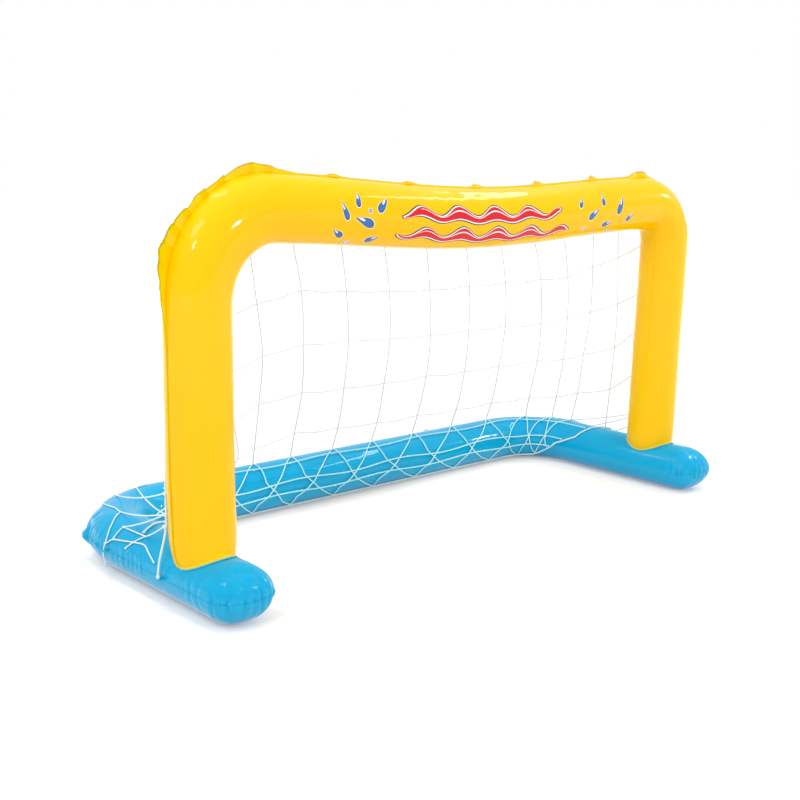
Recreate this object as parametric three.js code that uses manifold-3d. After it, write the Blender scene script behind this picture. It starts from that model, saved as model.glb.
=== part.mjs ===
// An inflatable water polo goal: an arch on a U-shaped base, with a hanging net.
// Millimetres, +Z up, +X along the crossbar, +Y towards the back. The origin is on the
// floor, in the middle of the goal's outline.

import * as THREE from 'three';
import { mergeVertices } from 'three/addons/utils/BufferGeometryUtils.js';
import Module from 'manifold-3d';

const wasm = await Module();
wasm.setup();

// Overall sizes
const postSpacing = 1290;
const overallDepth = 608;
const frontReach = 155;

// Film and its welded seams
const film = 0.45;
const seamGap = 0.3;
const weldLipWidth = 4;
const seatGap = 0.3;
const facetRoom = 0.8;
const mergeDistance = 0.0001;
const joinMergeDistance = 0.02;

// Base chamber: a U of tube, flat where it rests
const baseHalfWidth = 60;
const baseTopHeight = 101.5;
const baseSeamHeight = 50;
const baseBellyDepth = 52;
const baseCornerRadius = 150;
const baseSideSteps = 2;
const baseRearSteps = 4;
const baseCornerSteps = 10;
const noseSteps = 8;
const baseArcSteps = 5;

// Arch chamber: its seams run round its outer and inner outlines
const archTopHeight = 727;
const tubeWidth = 116;
const tubeHalfDepth = 54;
const crossbarSag = 25;
const leftOuterRadius = 196;
const leftInnerRadius = 98;
const rightOuterRadius = 160;
const rightInnerRadius = 34;
const footWidthShare = 0.9;
const footHalfWidth = baseHalfWidth * footWidthShare;
const footHalfDepth = 51;
const footTaperHeight = 150;
const footLipWidth = 1.4;
const ruffleWidth = 20;
const ruffleSway = 8;
const ruffleTurn = 2.4;
const ruffleShares = [
  0.3, 0.75, 1, 0.86, 1, 0.72, 0.85, 0.35, 0.2, 0.3, 0.1, 0.25, 0, 0, 0,
];
const leftCornerSteps = 14;
const rightCornerSteps = 8;
const crossbarSteps = 8;
const archArcSteps = 8;

// Weld skirt under each post
const skirtThickness = 0.8;
const skirtInset = 5;
const skirtOverlapSide = 2.6;
const skirtOverlapFront = 9;
const skirtSteps = 24;

// Eyelet tabs on the seams
const tabThickness = 0.8;
const tabOverlap = 3.5;
const tabCornerRadius = 4;
const eyeletRadius = 2.5;
const headTabWidth = 20;
const headTabReach = 11;
const headTabCount = 7;
const headTabPitch = 181;
const baseTabWidth = 16;
const baseTabReach = 7.5;

// Net, ropes and ties
const netCordHalf = 1.3;
const ropeRadius = 2;
const ropeKnotRadius = 4;
const tieRadius = 0.9;
const tieRoom = 2.6;
const tieSlant = 4;
const ropeClear = 0.7;
const headRopeAngle = 24;
const postRopeAngle = 80;
const netRowCount = 5;
const firstRowShare = 0.115;
const rowPitchShare = 0.198;
const netBellyShare = 0.082;
const netClear = 1.5;
const leaveMargin = 3;
const footRopeAngle = -49;
const postRopeShare = 0.45;
const headRopeShare = 0.8;
const ropeLeaveHeight = 150;
const ropeLeaveAngle = 38;
const ropeTailSteps = 8;
const sideTabSetback = 31;
const cornerTabShare = 0.5373;
const laidTurn = 22;
const laidStep = 24;
const footAngle = 93;
const skirtCordClear = 1.5;
const footRowAngles = [64, -4];
const footRowStop = 12;
const footSkirtStop = 5;
const footShift = 40;
const netDriftShare = 0.06;
const rearColumnCount = 8;

// Where each column of the net lands on the base, as shares of the post's distance from
// the middle, measured along the base's crest line.
const columnFootShares = {
  1: -0.402, 2: -0.243, 3: -0.056, 4: 0.13, 5: 0.336, 6: 0.543,
  7: 0.744, 8: 0.93, 9: 1.035, 10: 1.12, 11: 1.29,
};
const leftFootShares = { outer: -0.73, inner: -0.56 };

// Where the side parts' rows meet the posts and where their columns cross the rows.
const leftEdgeShares = [0.24, 0.43, 0.62, 0.8, 0.94];
const rightEdgeShares = [0.1, 0.19, 0.38, 0.53, 0.7];
const leftTopShare = 0.31;
const leftReachShares = {
  inner: [0.62, 0.46, 0.36, 0.3, 0.25],
  outer: [1, 0.92, 0.73, 0.61, 0.52],
};
const rightRiseShares = { 9: 0.01, 10: 0.04, 11: 0.08 };

// Valves
const valveDiscRadius = 16;
const valveDiscThickness = 0.8;
const valveNeckRadius = 7.8;
const valveNeckBore = 6.4;
const valveNeckDepth = 12;
const valveHoleClear = 0.9;
const valveFit = 0.3;
const stemRadius = valveNeckBore - valveFit;
const stemBore = 3.7;
const stemRimRadius = 8;
const stemRimThickness = 1.4;
const stemDepth = 13;
const plugRadius = 6.6;
const plugThickness = 1.6;
const plugShankDepth = 2.4;
const plugShankTip = 2.4;
const plugLugReach = 2.4;
const plugLugWidth = 4;
const plugGripHeight = 2.2;
const plugGripRadius = 2;
const flapRadius = 5.2;
const flapThickness = 0.6;
const archValveHeight = 330;
const archValveAngle = 135;
const baseValvePlace = 300;
const baseValveAngle = 133;
const valveSides = 16;
const cutOverrun = 4;

const rad = THREE.MathUtils.degToRad;
const lerp = THREE.MathUtils.lerp;
const vec = (x, y, z) => new THREE.Vector3(x, y, z);
const range = (count) => Array.from({ length: count }, (_, i) => i);

// Places that several pieces share
const postX = postSpacing / 2;
const postPlaneY = frontReach - overallDepth / 2;
const sheetLift = seamGap / 2 + film;
const baseRearY = overallDepth / 2 - baseHalfWidth - weldLipWidth;
const noseY = baseHalfWidth + weldLipWidth - overallDepth / 2;
const baseCrownFoot = baseSeamHeight + sheetLift;
const baseCrownRise = baseTopHeight - baseCrownFoot;
const skirtLift = seatGap + facetRoom / 2;
const rearHalf = postX - baseCornerRadius;
const cornerRun = (Math.PI / 2) * baseCornerRadius;
const sideRun = baseRearY - baseCornerRadius - noseY;
const postPlace = rearHalf + cornerRun + baseRearY - baseCornerRadius - postPlaneY;

// A distance along the base, as a share of the way from the rear corner to the post.
const sidePlace = (share) => lerp(rearHalf, postPlace, share);

// Mesh helpers

function geometryOf(points, faces) {
  const geometry = new THREE.BufferGeometry();
  const flat = points.flatMap((p) => [p.x, p.y, p.z]);
  geometry.setAttribute('position', new THREE.Float32BufferAttribute(flat, 3));
  geometry.setIndex(faces.flat());
  return tidy(geometry);
}

function signedVolume(geometry) {
  const place = geometry.getAttribute('position');
  const index = geometry.getIndex().array;
  const corner = (k) => new THREE.Vector3().fromBufferAttribute(place, index[k]);
  let sum = 0;
  for (let i = 0; i < index.length; i += 3) {
    sum += corner(i).dot(corner(i + 1).cross(corner(i + 2)));
  }
  return sum;
}

// Merges shared corners, drops the triangles that this closes up, and faces the rest out.
function tidy(geometry, distance = mergeDistance) {
  geometry.deleteAttribute('normal');
  geometry.deleteAttribute('uv');
  const merged = mergeVertices(geometry, distance);
  const index = Array.from(merged.getIndex().array);
  const kept = [];
  for (let i = 0; i < index.length; i += 3) {
    const [a, b, c] = index.slice(i, i + 3);
    if (a !== b && b !== c && c !== a) kept.push([a, b, c]);
  }
  merged.setIndex(kept.flat());
  if (signedVolume(merged) < 0) merged.setIndex(kept.map(([a, b, c]) => [a, c, b]).flat());
  return merged;
}

function toSolid(geometry) {
  const merged = tidy(geometry.clone());
  return new wasm.Manifold(new wasm.Mesh({
    numProp: 3,
    vertProperties: new Float32Array(merged.getAttribute('position').array),
    triVerts: new Uint32Array(merged.getIndex().array),
  }));
}

function fromSolid(solid) {
  const mesh = solid.getMesh();
  const geometry = new THREE.BufferGeometry();
  geometry.setAttribute('position', new THREE.Float32BufferAttribute(mesh.vertProperties, 3));
  geometry.setIndex(Array.from(mesh.triVerts));
  return geometry;
}

const joined = (geometries) => {
  const whole = geometries.map(toSolid).reduce((sum, next) => sum.add(next));
  return tidy(fromSolid(whole), joinMergeDistance);
};

const cut = (geometry, cutter) => fromSolid(toSolid(geometry).subtract(toSolid(cutter)));

// A thin sheet between an outer and an inner grid of points, walled round its edges.
// With loop set, the first index runs round a closed path and the second starts on a
// crest that the two sides of the path share.
function sheetSolid(outer, inner, loop = false) {
  const along = outer.length;
  const last = outer[0].length - 1;
  const top = (i, j) => (i % along) * (last + 1) + j;
  const under = (i, j) => along * (last + 1) + top(i, j);
  const faces = [];
  const quad = (a, b, c, d) => faces.push([a, b, c], [a, c, d]);
  const spans = loop ? along : along - 1;
  range(spans).forEach((i) => {
    range(last).forEach((j) => {
      quad(top(i, j), top(i + 1, j), top(i + 1, j + 1), top(i, j + 1));
      quad(under(i, j), under(i, j + 1), under(i + 1, j + 1), under(i + 1, j));
    });
    quad(top(i, last), top(i + 1, last), under(i + 1, last), under(i, last));
    if (!loop) quad(top(i + 1, 0), top(i, 0), under(i, 0), under(i + 1, 0));
  });
  if (!loop) {
    range(last).forEach((j) => {
      const end = along - 1;
      quad(top(0, j), top(0, j + 1), under(0, j + 1), under(0, j));
      quad(top(end, j + 1), top(end, j), under(end, j), under(end, j + 1));
    });
  }
  return geometryOf([...outer.flat(), ...inner.flat()], faces);
}

// A closed ring of equal closed sections.
function ringSolid(sections) {
  const count = sections.length;
  const sides = sections[0].length;
  const at = (i, k) => (i % count) * sides + (k % sides);
  const faces = range(count).flatMap((i) => range(sides).flatMap((k) => [
    [at(i, k), at(i, k + 1), at(i + 1, k + 1)],
    [at(i, k), at(i + 1, k + 1), at(i + 1, k)],
  ]));
  return geometryOf(sections.flat(), faces);
}

// A round cord through the given points, with flat ends or closed into a ring.
function cordSolid(route, radius, sides, closed = false) {
  const count = route.length;
  const before = (i) => (closed ? route[(i + count - 1) % count] : route[Math.max(i - 1, 0)]);
  const after = (i) => (closed ? route[(i + 1) % count] : route[Math.min(i + 1, count - 1)]);
  const tangents = route.map((_, i) => after(i).clone().sub(before(i)).normalize());
  const steep = Math.abs(tangents[0].z) > Math.SQRT1_2;
  let side = (steep ? vec(1, 0, 0) : vec(0, 0, 1)).cross(tangents[0]).normalize();
  const rings = route.map((place, i) => {
    side = side.clone().addScaledVector(tangents[i], -side.dot(tangents[i])).normalize();
    const up = tangents[i].clone().cross(side);
    return range(sides).map((k) => {
      const turn = (2 * Math.PI * k) / sides;
      return place.clone()
        .addScaledVector(side, radius * Math.cos(turn))
        .addScaledVector(up, radius * Math.sin(turn));
    });
  });
  if (closed) return ringSolid(rings);
  const at = (i, k) => i * sides + (k % sides);
  const faces = range(count - 1).flatMap((i) => range(sides).flatMap((k) => [
    [at(i, k), at(i, k + 1), at(i + 1, k + 1)],
    [at(i, k), at(i + 1, k + 1), at(i + 1, k)],
  ]));
  range(sides - 2).forEach((k) => {
    faces.push([at(0, 0), at(0, k + 2), at(0, k + 1)]);
    faces.push([at(count - 1, 0), at(count - 1, k + 1), at(count - 1, k + 2)]);
  });
  return geometryOf(rings.flat(), faces);
}

const knotBall = (place, radius) =>
  new THREE.IcosahedronGeometry(radius, 0).translate(place.x, place.y, place.z);

// Square-section netting. A knot is a small cube, turned to its across and down
// directions, and a link is a prism between the facing sides of two cubes.
function netSolid(knots, acrossLinks, downLinks, half) {
  const sideRings = {
    across: (a) => [[a, 1, 1], [a, -1, 1], [a, -1, -1], [a, 1, -1]],
    down: (d) => [[1, d, 1], [1, d, -1], [-1, d, -1], [-1, d, 1]],
    normal: (n) => [[1, 1, n], [-1, 1, n], [-1, -1, n], [1, -1, n]],
  };
  const corner = (knot, [a, d, n]) => {
    const normal = knot.across.clone().cross(knot.down).normalize();
    const down = normal.clone().cross(knot.across);
    return knot.place.clone()
      .addScaledVector(knot.across, half * a)
      .addScaledVector(down, half * d)
      .addScaledVector(normal, half * n);
  };
  const points = [];
  const faces = [];
  const addRing = (ring) => ring.map((p) => points.push(p) - 1);
  const addSide = (ring) => {
    const [a, b, c, d] = addRing(ring);
    faces.push([a, b, c], [a, c, d]);
  };
  const taken = new Set();
  const link = (way) => ([from, to]) => {
    const near = addRing(sideRings[way](1).map((s) => corner(knots[from], s)));
    const far = addRing(sideRings[way](-1).map((s) => corner(knots[to], s)));
    near.forEach((a, k) => {
      const next = (k + 1) % near.length;
      faces.push([a, near[next], far[next]], [a, far[next], far[k]]);
    });
    taken.add(`${from} ${way} 1`);
    taken.add(`${to} ${way} -1`);
  };
  acrossLinks.forEach(link('across'));
  downLinks.forEach(link('down'));
  knots.forEach((knot, k) => {
    Object.keys(sideRings).forEach((way) => [1, -1].forEach((sign) => {
      if (taken.has(`${k} ${way} ${sign}`)) return;
      const ring = sideRings[way](sign).map((s) => corner(knot, s));
      addSide(sign > 0 ? ring : ring.reverse());
    }));
  });
  return geometryOf(points, faces);
}

// Base chamber

// A point of the base's crest line in plan, and its outward direction. The distance
// along starts at the middle of the rear tube and is negative to the left.
function basePath(along) {
  const hand = along < 0 ? -1 : 1;
  const run = Math.abs(along) - rearHalf;
  if (run <= 0) return { spot: vec(along, baseRearY, 0), out: vec(0, 1, 0) };
  if (run >= cornerRun) {
    const y = baseRearY - baseCornerRadius - (run - cornerRun);
    return { spot: vec(hand * postX, y, 0), out: vec(hand, 0, 0) };
  }
  const turn = run / baseCornerRadius;
  const out = vec(hand * Math.sin(turn), Math.cos(turn), 0);
  const centre = vec(hand * rearHalf, baseRearY - baseCornerRadius, 0);
  return { spot: centre.addScaledVector(out, baseCornerRadius), out };
}

// A point on or above the base's skin. The angle goes from the inner seam at 0 over the
// crest at 90 to the outer seam at 180, and below the seams past them.
function baseSkin(along, degrees, lift) {
  const { spot, out } = basePath(along);
  const turn = rad(degrees);
  const below = Math.sin(turn) < 0;
  const level = below ? baseSeamHeight - sheetLift : baseCrownFoot;
  const rise = (below ? baseBellyDepth : baseCrownRise) + lift;
  spot.addScaledVector(out, -(baseHalfWidth + lift + lipRise(degrees)) * Math.cos(turn));
  spot.z = Math.max(level + rise * Math.sin(turn), lift);
  return spot;
}

// What lies on the skin bridges the seam's lip in a straight line from each side.
const lipShadow = THREE.MathUtils.radToDeg(
  Math.acos(baseHalfWidth / (baseHalfWidth + weldLipWidth)),
);
function lipRise(degrees) {
  const fromSeam = Math.min(Math.abs(degrees), Math.abs(degrees - 180));
  return weldLipWidth * Math.max(0, 1 - fromSeam / lipShadow);
}

const crownAt = (offset) =>
  baseCrownFoot + baseCrownRise * Math.sqrt(1 - (offset / baseHalfWidth) ** 2);

// The closed path round the base: out along one side, round a nose, back along the
// other side and round the other nose. Each entry has its crest point and direction.
function baseMeridians() {
  const half = rearHalf + cornerRun + sideRun;
  const stretch = (from, to, steps) => range(steps).map((i) => lerp(from, to, i / steps));
  const stops = [
    ...stretch(-half, -rearHalf - cornerRun, baseSideSteps),
    ...stretch(-rearHalf - cornerRun, -rearHalf, baseCornerSteps),
    ...stretch(-rearHalf, rearHalf, baseRearSteps),
    ...stretch(rearHalf, rearHalf + cornerRun, baseCornerSteps),
    ...stretch(rearHalf + cornerRun, half, baseSideSteps),
    half,
  ];
  const outside = stops.map(basePath);
  const inside = stops.map(basePath)
    .map(({ spot, out }) => ({ spot, out: out.clone().negate() })).reverse();
  const nose = ({ spot, out }) => range(noseSteps - 1).map((i) => ({
    spot, out: out.clone().applyAxisAngle(vec(0, 0, 1), (-Math.PI * (i + 1)) / noseSteps),
  }));
  return [
    ...outside, ...nose(outside[outside.length - 1]),
    ...inside, ...nose(inside[inside.length - 1]),
  ];
}

// One sheet of the base, from the crest or the flat of the belly out to the seam's lip.
function baseSheet(hand) {
  const depth = hand > 0 ? baseCrownRise : baseBellyDepth;
  const level = (lift) => baseSeamHeight + hand * (seamGap / 2 + lift);
  const floor = (inset) => (hand > 0 ? 0 : inset);
  const fullTurn = (rise, lift, inset) => {
    if (hand > 0) return Math.PI / 2;
    return Math.asin((level(lift) - floor(inset)) / rise);
  };
  const profile = (width, rise, lift, inset) => {
    const turn = fullTurn(rise, lift, inset);
    const arc = range(baseArcSteps + 1).map((i) => {
      const angle = turn * (1 - i / baseArcSteps);
      return [width * Math.cos(angle), level(lift) + hand * rise * Math.sin(angle)];
    });
    const crest = hand > 0 ? [] : [[0, floor(inset)]];
    return [...crest, ...arc, [baseHalfWidth + weldLipWidth, level(lift)]];
  };
  const grid = (points) => baseMeridians().map(({ spot, out }) =>
    points.map(([width, z]) => spot.clone().addScaledVector(out, width).setZ(z)));
  const outer = grid(profile(baseHalfWidth, depth, film, 0));
  const inner = grid(profile(baseHalfWidth - film, depth - film, 0, film));
  return sheetSolid(outer, inner, true);
}

// Arch chamber

const sagAt = (x) => {
  const span = postX - tubeWidth / 2;
  return Math.abs(x) < span ? crossbarSag * Math.cos((Math.PI * x) / (2 * span)) ** 2 : 0;
};

// Matching points of the arch's outer and inner seams, from the left foot to the right.
function archStations() {
  const outerX = postX + tubeWidth / 2;
  const innerX = postX - tubeWidth / 2;
  const innerTop = archTopHeight - tubeWidth;
  const arc = (x, top, radius, hand, degrees) => vec(
    hand * (x - radius + radius * Math.cos(rad(degrees))),
    0,
    top - radius + radius * Math.sin(rad(degrees)),
  );
  const corner = (hand, outerRadius, innerRadius, steps) => range(steps + 1).map((i) => ({
    outer: arc(outerX, archTopHeight, outerRadius, hand, (90 * i) / steps),
    inner: arc(innerX, innerTop, innerRadius, hand, (90 * i) / steps),
    zone: hand < 0 ? 'left corner' : 'right corner',
    share: i / steps,
  }));
  const foot = (hand) => ({
    outer: vec(hand * (postX + footHalfWidth), 0, crownAt(footHalfWidth)),
    inner: vec(hand * (postX - footHalfWidth), 0, crownAt(footHalfWidth)),
    zone: 'foot',
  });
  const knee = (hand) => ({
    outer: vec(hand * outerX, 0, baseTopHeight + footTaperHeight),
    inner: vec(hand * innerX, 0, baseTopHeight + footTaperHeight),
    zone: 'post',
  });
  const left = corner(-1, leftOuterRadius, leftInnerRadius, leftCornerSteps);
  const right = corner(1, rightOuterRadius, rightInnerRadius, rightCornerSteps).reverse();
  const [start, end] = [left[left.length - 1], right[0]];
  const bar = range(crossbarSteps - 1).map((i) => {
    const share = (i + 1) / crossbarSteps;
    return {
      outer: start.outer.clone().lerp(end.outer, share),
      inner: start.inner.clone().lerp(end.inner, share),
      zone: 'crossbar',
      share,
    };
  });
  const stations = [foot(-1), knee(-1), ...left, ...bar, ...right, knee(1), foot(1)];
  stations.forEach(({ outer, inner }) => {
    outer.z -= sagAt(outer.x);
    inner.z -= sagAt(inner.x);
  });
  return stations;
}

const stations = archStations();

// How far the outer seam's lip stands out, and how far it waves to the front or back.
function lipAt(i) {
  const { zone, share } = stations[i];
  if (zone === 'foot') return { width: footLipWidth, sway: 0 };
  if (zone !== 'left corner') return { width: weldLipWidth, sway: 0 };
  const place = share * (ruffleShares.length - 1);
  const before = Math.min(Math.floor(place), ruffleShares.length - 2);
  const swell = lerp(ruffleShares[before], ruffleShares[before + 1], place - before);
  return {
    width: weldLipWidth + ruffleWidth * swell,
    sway: ruffleSway * swell * Math.sin(i * ruffleTurn),
  };
}

// A point of the arch's section at a station: 0 degrees is the outer seam and 180 the
// inner one, in front for hand -1 and behind for hand 1.
function archPoint(i, degrees, hand, halfWidthInset, level, rise) {
  const { outer, inner, zone } = stations[i];
  const middle = outer.clone().lerp(inner, 0.5);
  const reach = outer.clone().sub(middle);
  const scale = 1 - halfWidthInset / reach.length();
  const depthScale = zone === 'foot' ? footHalfDepth / tubeHalfDepth : 1;
  const turn = rad(degrees);
  const point = middle.addScaledVector(reach, scale * Math.cos(turn));
  point.y = postPlaneY + hand * (level + rise * depthScale * Math.sin(turn));
  return seatedFoot(point, zone);
}

// At a foot the post's edge follows the base's crown, just above the weld skirt.
function seatedFoot(point, zone) {
  if (zone === 'foot') {
    point.z = crownAt(Math.abs(point.x) - postX) + skirtLift + skirtThickness + seatGap + facetRoom;
  }
  return point;
}

const archSkin = (i, degrees, lift) =>
  archPoint(i, degrees, 1, -lift, 0, tubeHalfDepth + lift);

function archSheet(hand) {
  const row = (i, inset, level) => {
    const { outer, inner, zone } = stations[i];
    const out = outer.clone().sub(inner).normalize();
    const { width, sway } = lipAt(i);
    const arc = range(archArcSteps + 1).map((k) =>
      archPoint(i, (180 * k) / archArcSteps, hand, inset, level, tubeHalfDepth - inset - level));
    const lip = (seam, way, reach, shift) => {
      const tip = seam.clone().addScaledVector(out, way * reach);
      tip.y = postPlaneY + hand * level + shift;
      return seatedFoot(tip, zone);
    };
    const innerWidth = zone === 'foot' ? footLipWidth : weldLipWidth;
    return [lip(outer, 1, width, sway), ...arc, lip(inner, -1, innerWidth, 0)];
  };
  const outer = stations.map((_, i) => row(i, 0, sheetLift));
  const inner = stations.map((_, i) => row(i, film, seamGap / 2));
  return sheetSolid(outer, inner);
}

// A thin saddle ring on the base's crown, welded to the post's bottom edge.
function weldSkirt(hand) {
  const point = (turn, width, depth, lift) => {
    const offset = width * Math.cos(turn);
    const y = postPlaneY + depth * Math.sin(turn);
    return vec(hand * postX + offset, y, crownAt(offset) + skirtLift + lift);
  };
  return ringSolid(range(skirtSteps).map((i) => {
    const turn = (2 * Math.PI * i) / skirtSteps;
    const inner = [footHalfWidth - skirtInset, footHalfDepth - skirtInset];
    const middle = [footHalfWidth - skirtInset / 4, footHalfDepth];
    const outer = [footHalfWidth + skirtOverlapSide, footHalfDepth + skirtOverlapFront];
    const lower = [inner, middle, outer].map((size) => point(turn, ...size, 0));
    const upper = [outer, middle, inner].map((size) => point(turn, ...size, skirtThickness));
    return [...lower, ...upper];
  }));
}

// Eyelet tabs

// A flat tab with an eyelet. Its own x is its width, y its reach past the seam's lip
// and z its thickness.
function tabPlate(width, reach) {
  const corner = tabCornerRadius;
  const plate = new THREE.Shape();
  plate.moveTo(-width / 2, -tabOverlap);
  plate.lineTo(width / 2, -tabOverlap);
  plate.lineTo(width / 2, reach - corner);
  plate.absarc(width / 2 - corner, reach - corner, corner, 0, Math.PI / 2);
  plate.absarc(corner - width / 2, reach - corner, corner, Math.PI / 2, Math.PI);
  const hole = new THREE.Path();
  hole.absarc(0, reach / 2, eyeletRadius, 0, 2 * Math.PI, true);
  plate.holes.push(hole);
  return new THREE.ExtrudeGeometry(plate, {
    depth: tabThickness, bevelEnabled: false, curveSegments: 3,
  });
}

// Turns a geometry's own x, y and z to the given directions and moves it to a place.
function placed(geometry, across, reach, normal, place) {
  const turn = new THREE.Matrix4().makeBasis(across, reach, normal).setPosition(place);
  return geometry.clone().applyMatrix4(turn);
}

// Places along the crossbar's top seam where the head tabs stand.
function headTabs() {
  return range(headTabCount).map((i) => {
    const x = (i - (headTabCount - 1) / 2) * headTabPitch;
    const next = stations.findIndex(({ outer }) => outer.x > x);
    const [from, to] = [stations[next - 1].outer, stations[next].outer];
    const along = to.clone().sub(from).normalize();
    const spot = from.clone().lerp(to, (x - from.x) / (to.x - from.x));
    spot.y = postPlaneY + sheetLift + seatGap;
    return { spot, along, up: along.clone().cross(vec(0, -1, 0)).negate(), next };
  });
}

// Ropes

// A point on a post's back, above the foot's taper and within it.
function postSkin(hand, height, degrees, lift) {
  const share = Math.min(1, Math.max(0, (height - baseTopHeight) / footTaperHeight));
  const width = lerp(footHalfWidth, tubeWidth / 2, share) + lift;
  const depth = lerp(footHalfDepth, tubeHalfDepth, share) + lift;
  const turn = rad(degrees);
  const x = hand * (postX + width * Math.cos(turn));
  return vec(x, postPlaneY + depth * Math.sin(turn), height);
}

// The edge rope's place round the section: on the posts, round the corners and along
// the head, where it leaves room for its ties.
const ropeEaseAt = (i) => {
  if (stations[i].zone === 'crossbar') return 1;
  const turned = (stations[i].share - postRopeShare) / (headRopeShare - postRopeShare);
  return Math.min(1, Math.max(0, turned));
};
const ropeTurnAt = (i) => lerp(postRopeAngle, headRopeAngle, ropeEaseAt(i));
const ropeLiftAt = (i) => ropeRadius + lerp(ropeClear, tieRoom, ropeEaseAt(i));
const ropeAt = (i) => archSkin(i, ropeTurnAt(i), ropeLiftAt(i));
const shoulderAt = (hand) => stations[hand < 0 ? 2 : stations.length - 3].outer.z;

function postRopeTurn(hand, height) {
  const share = (height - ropeLeaveHeight) / (shoulderAt(hand) - ropeLeaveHeight);
  return lerp(ropeLeaveAngle, postRopeAngle, share);
}

// Each end of the rope leaves its post for the eyelet beside it on the base's seam.
const baseTabX = postX + baseHalfWidth + weldLipWidth + baseTabReach / 2;
const sideTabY = postPlaneY + sideTabSetback;
const baseTabUnder = baseSeamHeight + sheetLift + seatGap;

function ropeTail(hand) {
  const steps = ropeTailSteps;
  const down = range(steps).map((i) => {
    const height = lerp(shoulderAt(hand), ropeLeaveHeight, (i + 1) / steps);
    const lift = ropeRadius + lerp(ropeClear, tieRoom, (i + 1) / steps);
    return postSkin(hand, height, postRopeTurn(hand, height), lift);
  });
  const eyelet = vec(hand * baseTabX, sideTabY, 0);
  const above = eyelet.clone().setZ(baseTabUnder + 2 * ropeRadius);
  const below = eyelet.clone().setZ(baseTabUnder - ropeKnotRadius - seatGap);
  return [...down, above, below];
}

function edgeRope() {
  const bar = range(stations.length - 4).map((i) => ropeAt(i + 2));
  const [left, right] = [ropeTail(-1), ropeTail(1)];
  const route = [...left.slice().reverse(), ...bar, ...right];
  const ends = [left, right].map((tail) => knotBall(tail[tail.length - 1], ropeKnotRadius));
  return joined([cordSolid(route, ropeRadius, 6), ...ends]);
}

// The foot rope lies low on the inside of the rear tube, and climbs over the side
// tubes behind the posts. Each entry is a place along the base and an angle.
const footRopeRiseShares = [
  [0.263, -42], [0.432, -8], [0.527, 12], [0.605, 32], [0.668, 85], [0.702, 117],
];
const footRopeRise = footRopeRiseShares.map(([share, degrees]) => [sidePlace(share), degrees]);

function footRopeTurn(along) {
  const distance = Math.abs(along);
  const steps = [[rearHalf, footRopeAngle], ...footRopeRise];
  const next = steps.findIndex(([place]) => place >= distance);
  if (next === 0) return footRopeAngle;
  if (next < 0) return steps[steps.length - 1][1];
  const [[fromPlace, from], [toPlace, to]] = [steps[next - 1], steps[next]];
  return lerp(from, to, (distance - fromPlace) / (toPlace - fromPlace));
}

// A route on the base's skin between places given by distance along and angle, with
// enough points to follow the skin's curves.
function laidRoute(places, lift) {
  const stops = places.slice(1).flatMap(([along, degrees], n) => {
    const [fromAlong, fromDegrees] = places[n];
    const share = -fromDegrees / (degrees - fromDegrees);
    const overSeam = share > 0 && share < 1;
    return [...(overSeam ? [[lerp(fromAlong, along, share), 0]] : []), [along, degrees]];
  });
  const points = stops.flatMap(([along, degrees], n) => {
    const [fromAlong, fromDegrees] = n ? stops[n - 1] : places[0];
    const curved = Math.max(Math.abs(along), Math.abs(fromAlong)) > rearHalf;
    const turns = Math.abs(degrees - fromDegrees) / laidTurn;
    const bends = curved ? Math.abs(along - fromAlong) / laidStep : 0;
    const steps = Math.max(1, Math.ceil(Math.max(turns, bends)));
    return range(steps).map((i) => {
      const share = (i + 1) / steps;
      return baseSkin(lerp(fromAlong, along, share), lerp(fromDegrees, degrees, share), lift);
    });
  });
  return [baseSkin(...places[0], lift), ...points];
}

// The distance along the base at which the foot rope's rise passes an angle.
function footRopePlace(degrees) {
  const next = footRopeRise.findIndex(([, angle]) => angle > degrees);
  const [[fromPlace, from], [toPlace, to]] = footRopeRise.slice(next - 1, next + 1);
  return lerp(fromPlace, toPlace, (degrees - from) / (to - from));
}

function footRope() {
  const climb = footRopeRise.slice().reverse();
  const rise = climb.map(([along, degrees]) => [-along, degrees]);
  const across = [[-rearHalf, footRopeAngle], [rearHalf, footRopeAngle]];
  const route = laidRoute([...rise, ...across, ...footRopeRise], ropeRadius + ropeClear);
  return cordSolid(route, ropeRadius, 6);
}

// A closed tie through a head tab's eyelet, over the tab's top and round the rope.
function headTie({ spot, along, up, next }) {
  const back = vec(0, 1, 0);
  const at = (y, rise) => spot.clone().addScaledVector(back, y).addScaledVector(up, rise);
  const hole = weldLipWidth + headTabReach / 2;
  const top = weldLipWidth + headTabReach + tieRadius + seatGap;
  const front = tieRadius + seatGap;
  const x = spot.x + (spot.x < -headTabWidth ? -tieSlant : tieSlant);
  const [from, to] = [stations[next - 1].outer, stations[next].outer];
  const rope = ropeAt(next - 1).lerp(ropeAt(next), (x - from.x) / (to.x - from.x));
  const loop = ropeRadius + tieRadius + seatGap;
  const round = (y, rise) =>
    rope.clone().addScaledVector(back, loop * y).addScaledVector(up, loop * rise);
  const route = [
    at(tabThickness + front, hole - tieRadius / 2), at(-front, hole),
    at(-front, top - tieRadius), at(tabThickness / 2, top + tieRadius),
    at(tabThickness + front, top),
    round(0.35, 1), round(1, 0.5), round(1, -0.5), round(0.2, -1.05), round(-0.75, -0.8),
  ];
  return cordSolid(route, tieRadius, 4, true);
}

// Net

const middleColumn = 6;
const columnSpacing = postX / middleColumn;
const footLift = 4 * netCordHalf + skirtCordClear;
const edgeStep = THREE.MathUtils.radToDeg(
  (ropeRadius + netCordHalf + 2 * seatGap) / tubeHalfDepth,
);

// The back of the crossbar at a place along it, at an angle from its top seam.
function barBack(x, degrees, lift) {
  const next = stations.findIndex(({ outer }) => outer.x > x);
  const [from, to] = [archSkin(next - 1, degrees, lift), archSkin(next, degrees, lift)];
  return from.lerp(to, (x - from.x) / (to.x - from.x));
}

const columnHead = (k, degrees) =>
  barBack((k - middleColumn) * columnSpacing, degrees, netCordHalf + netClear);

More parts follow.
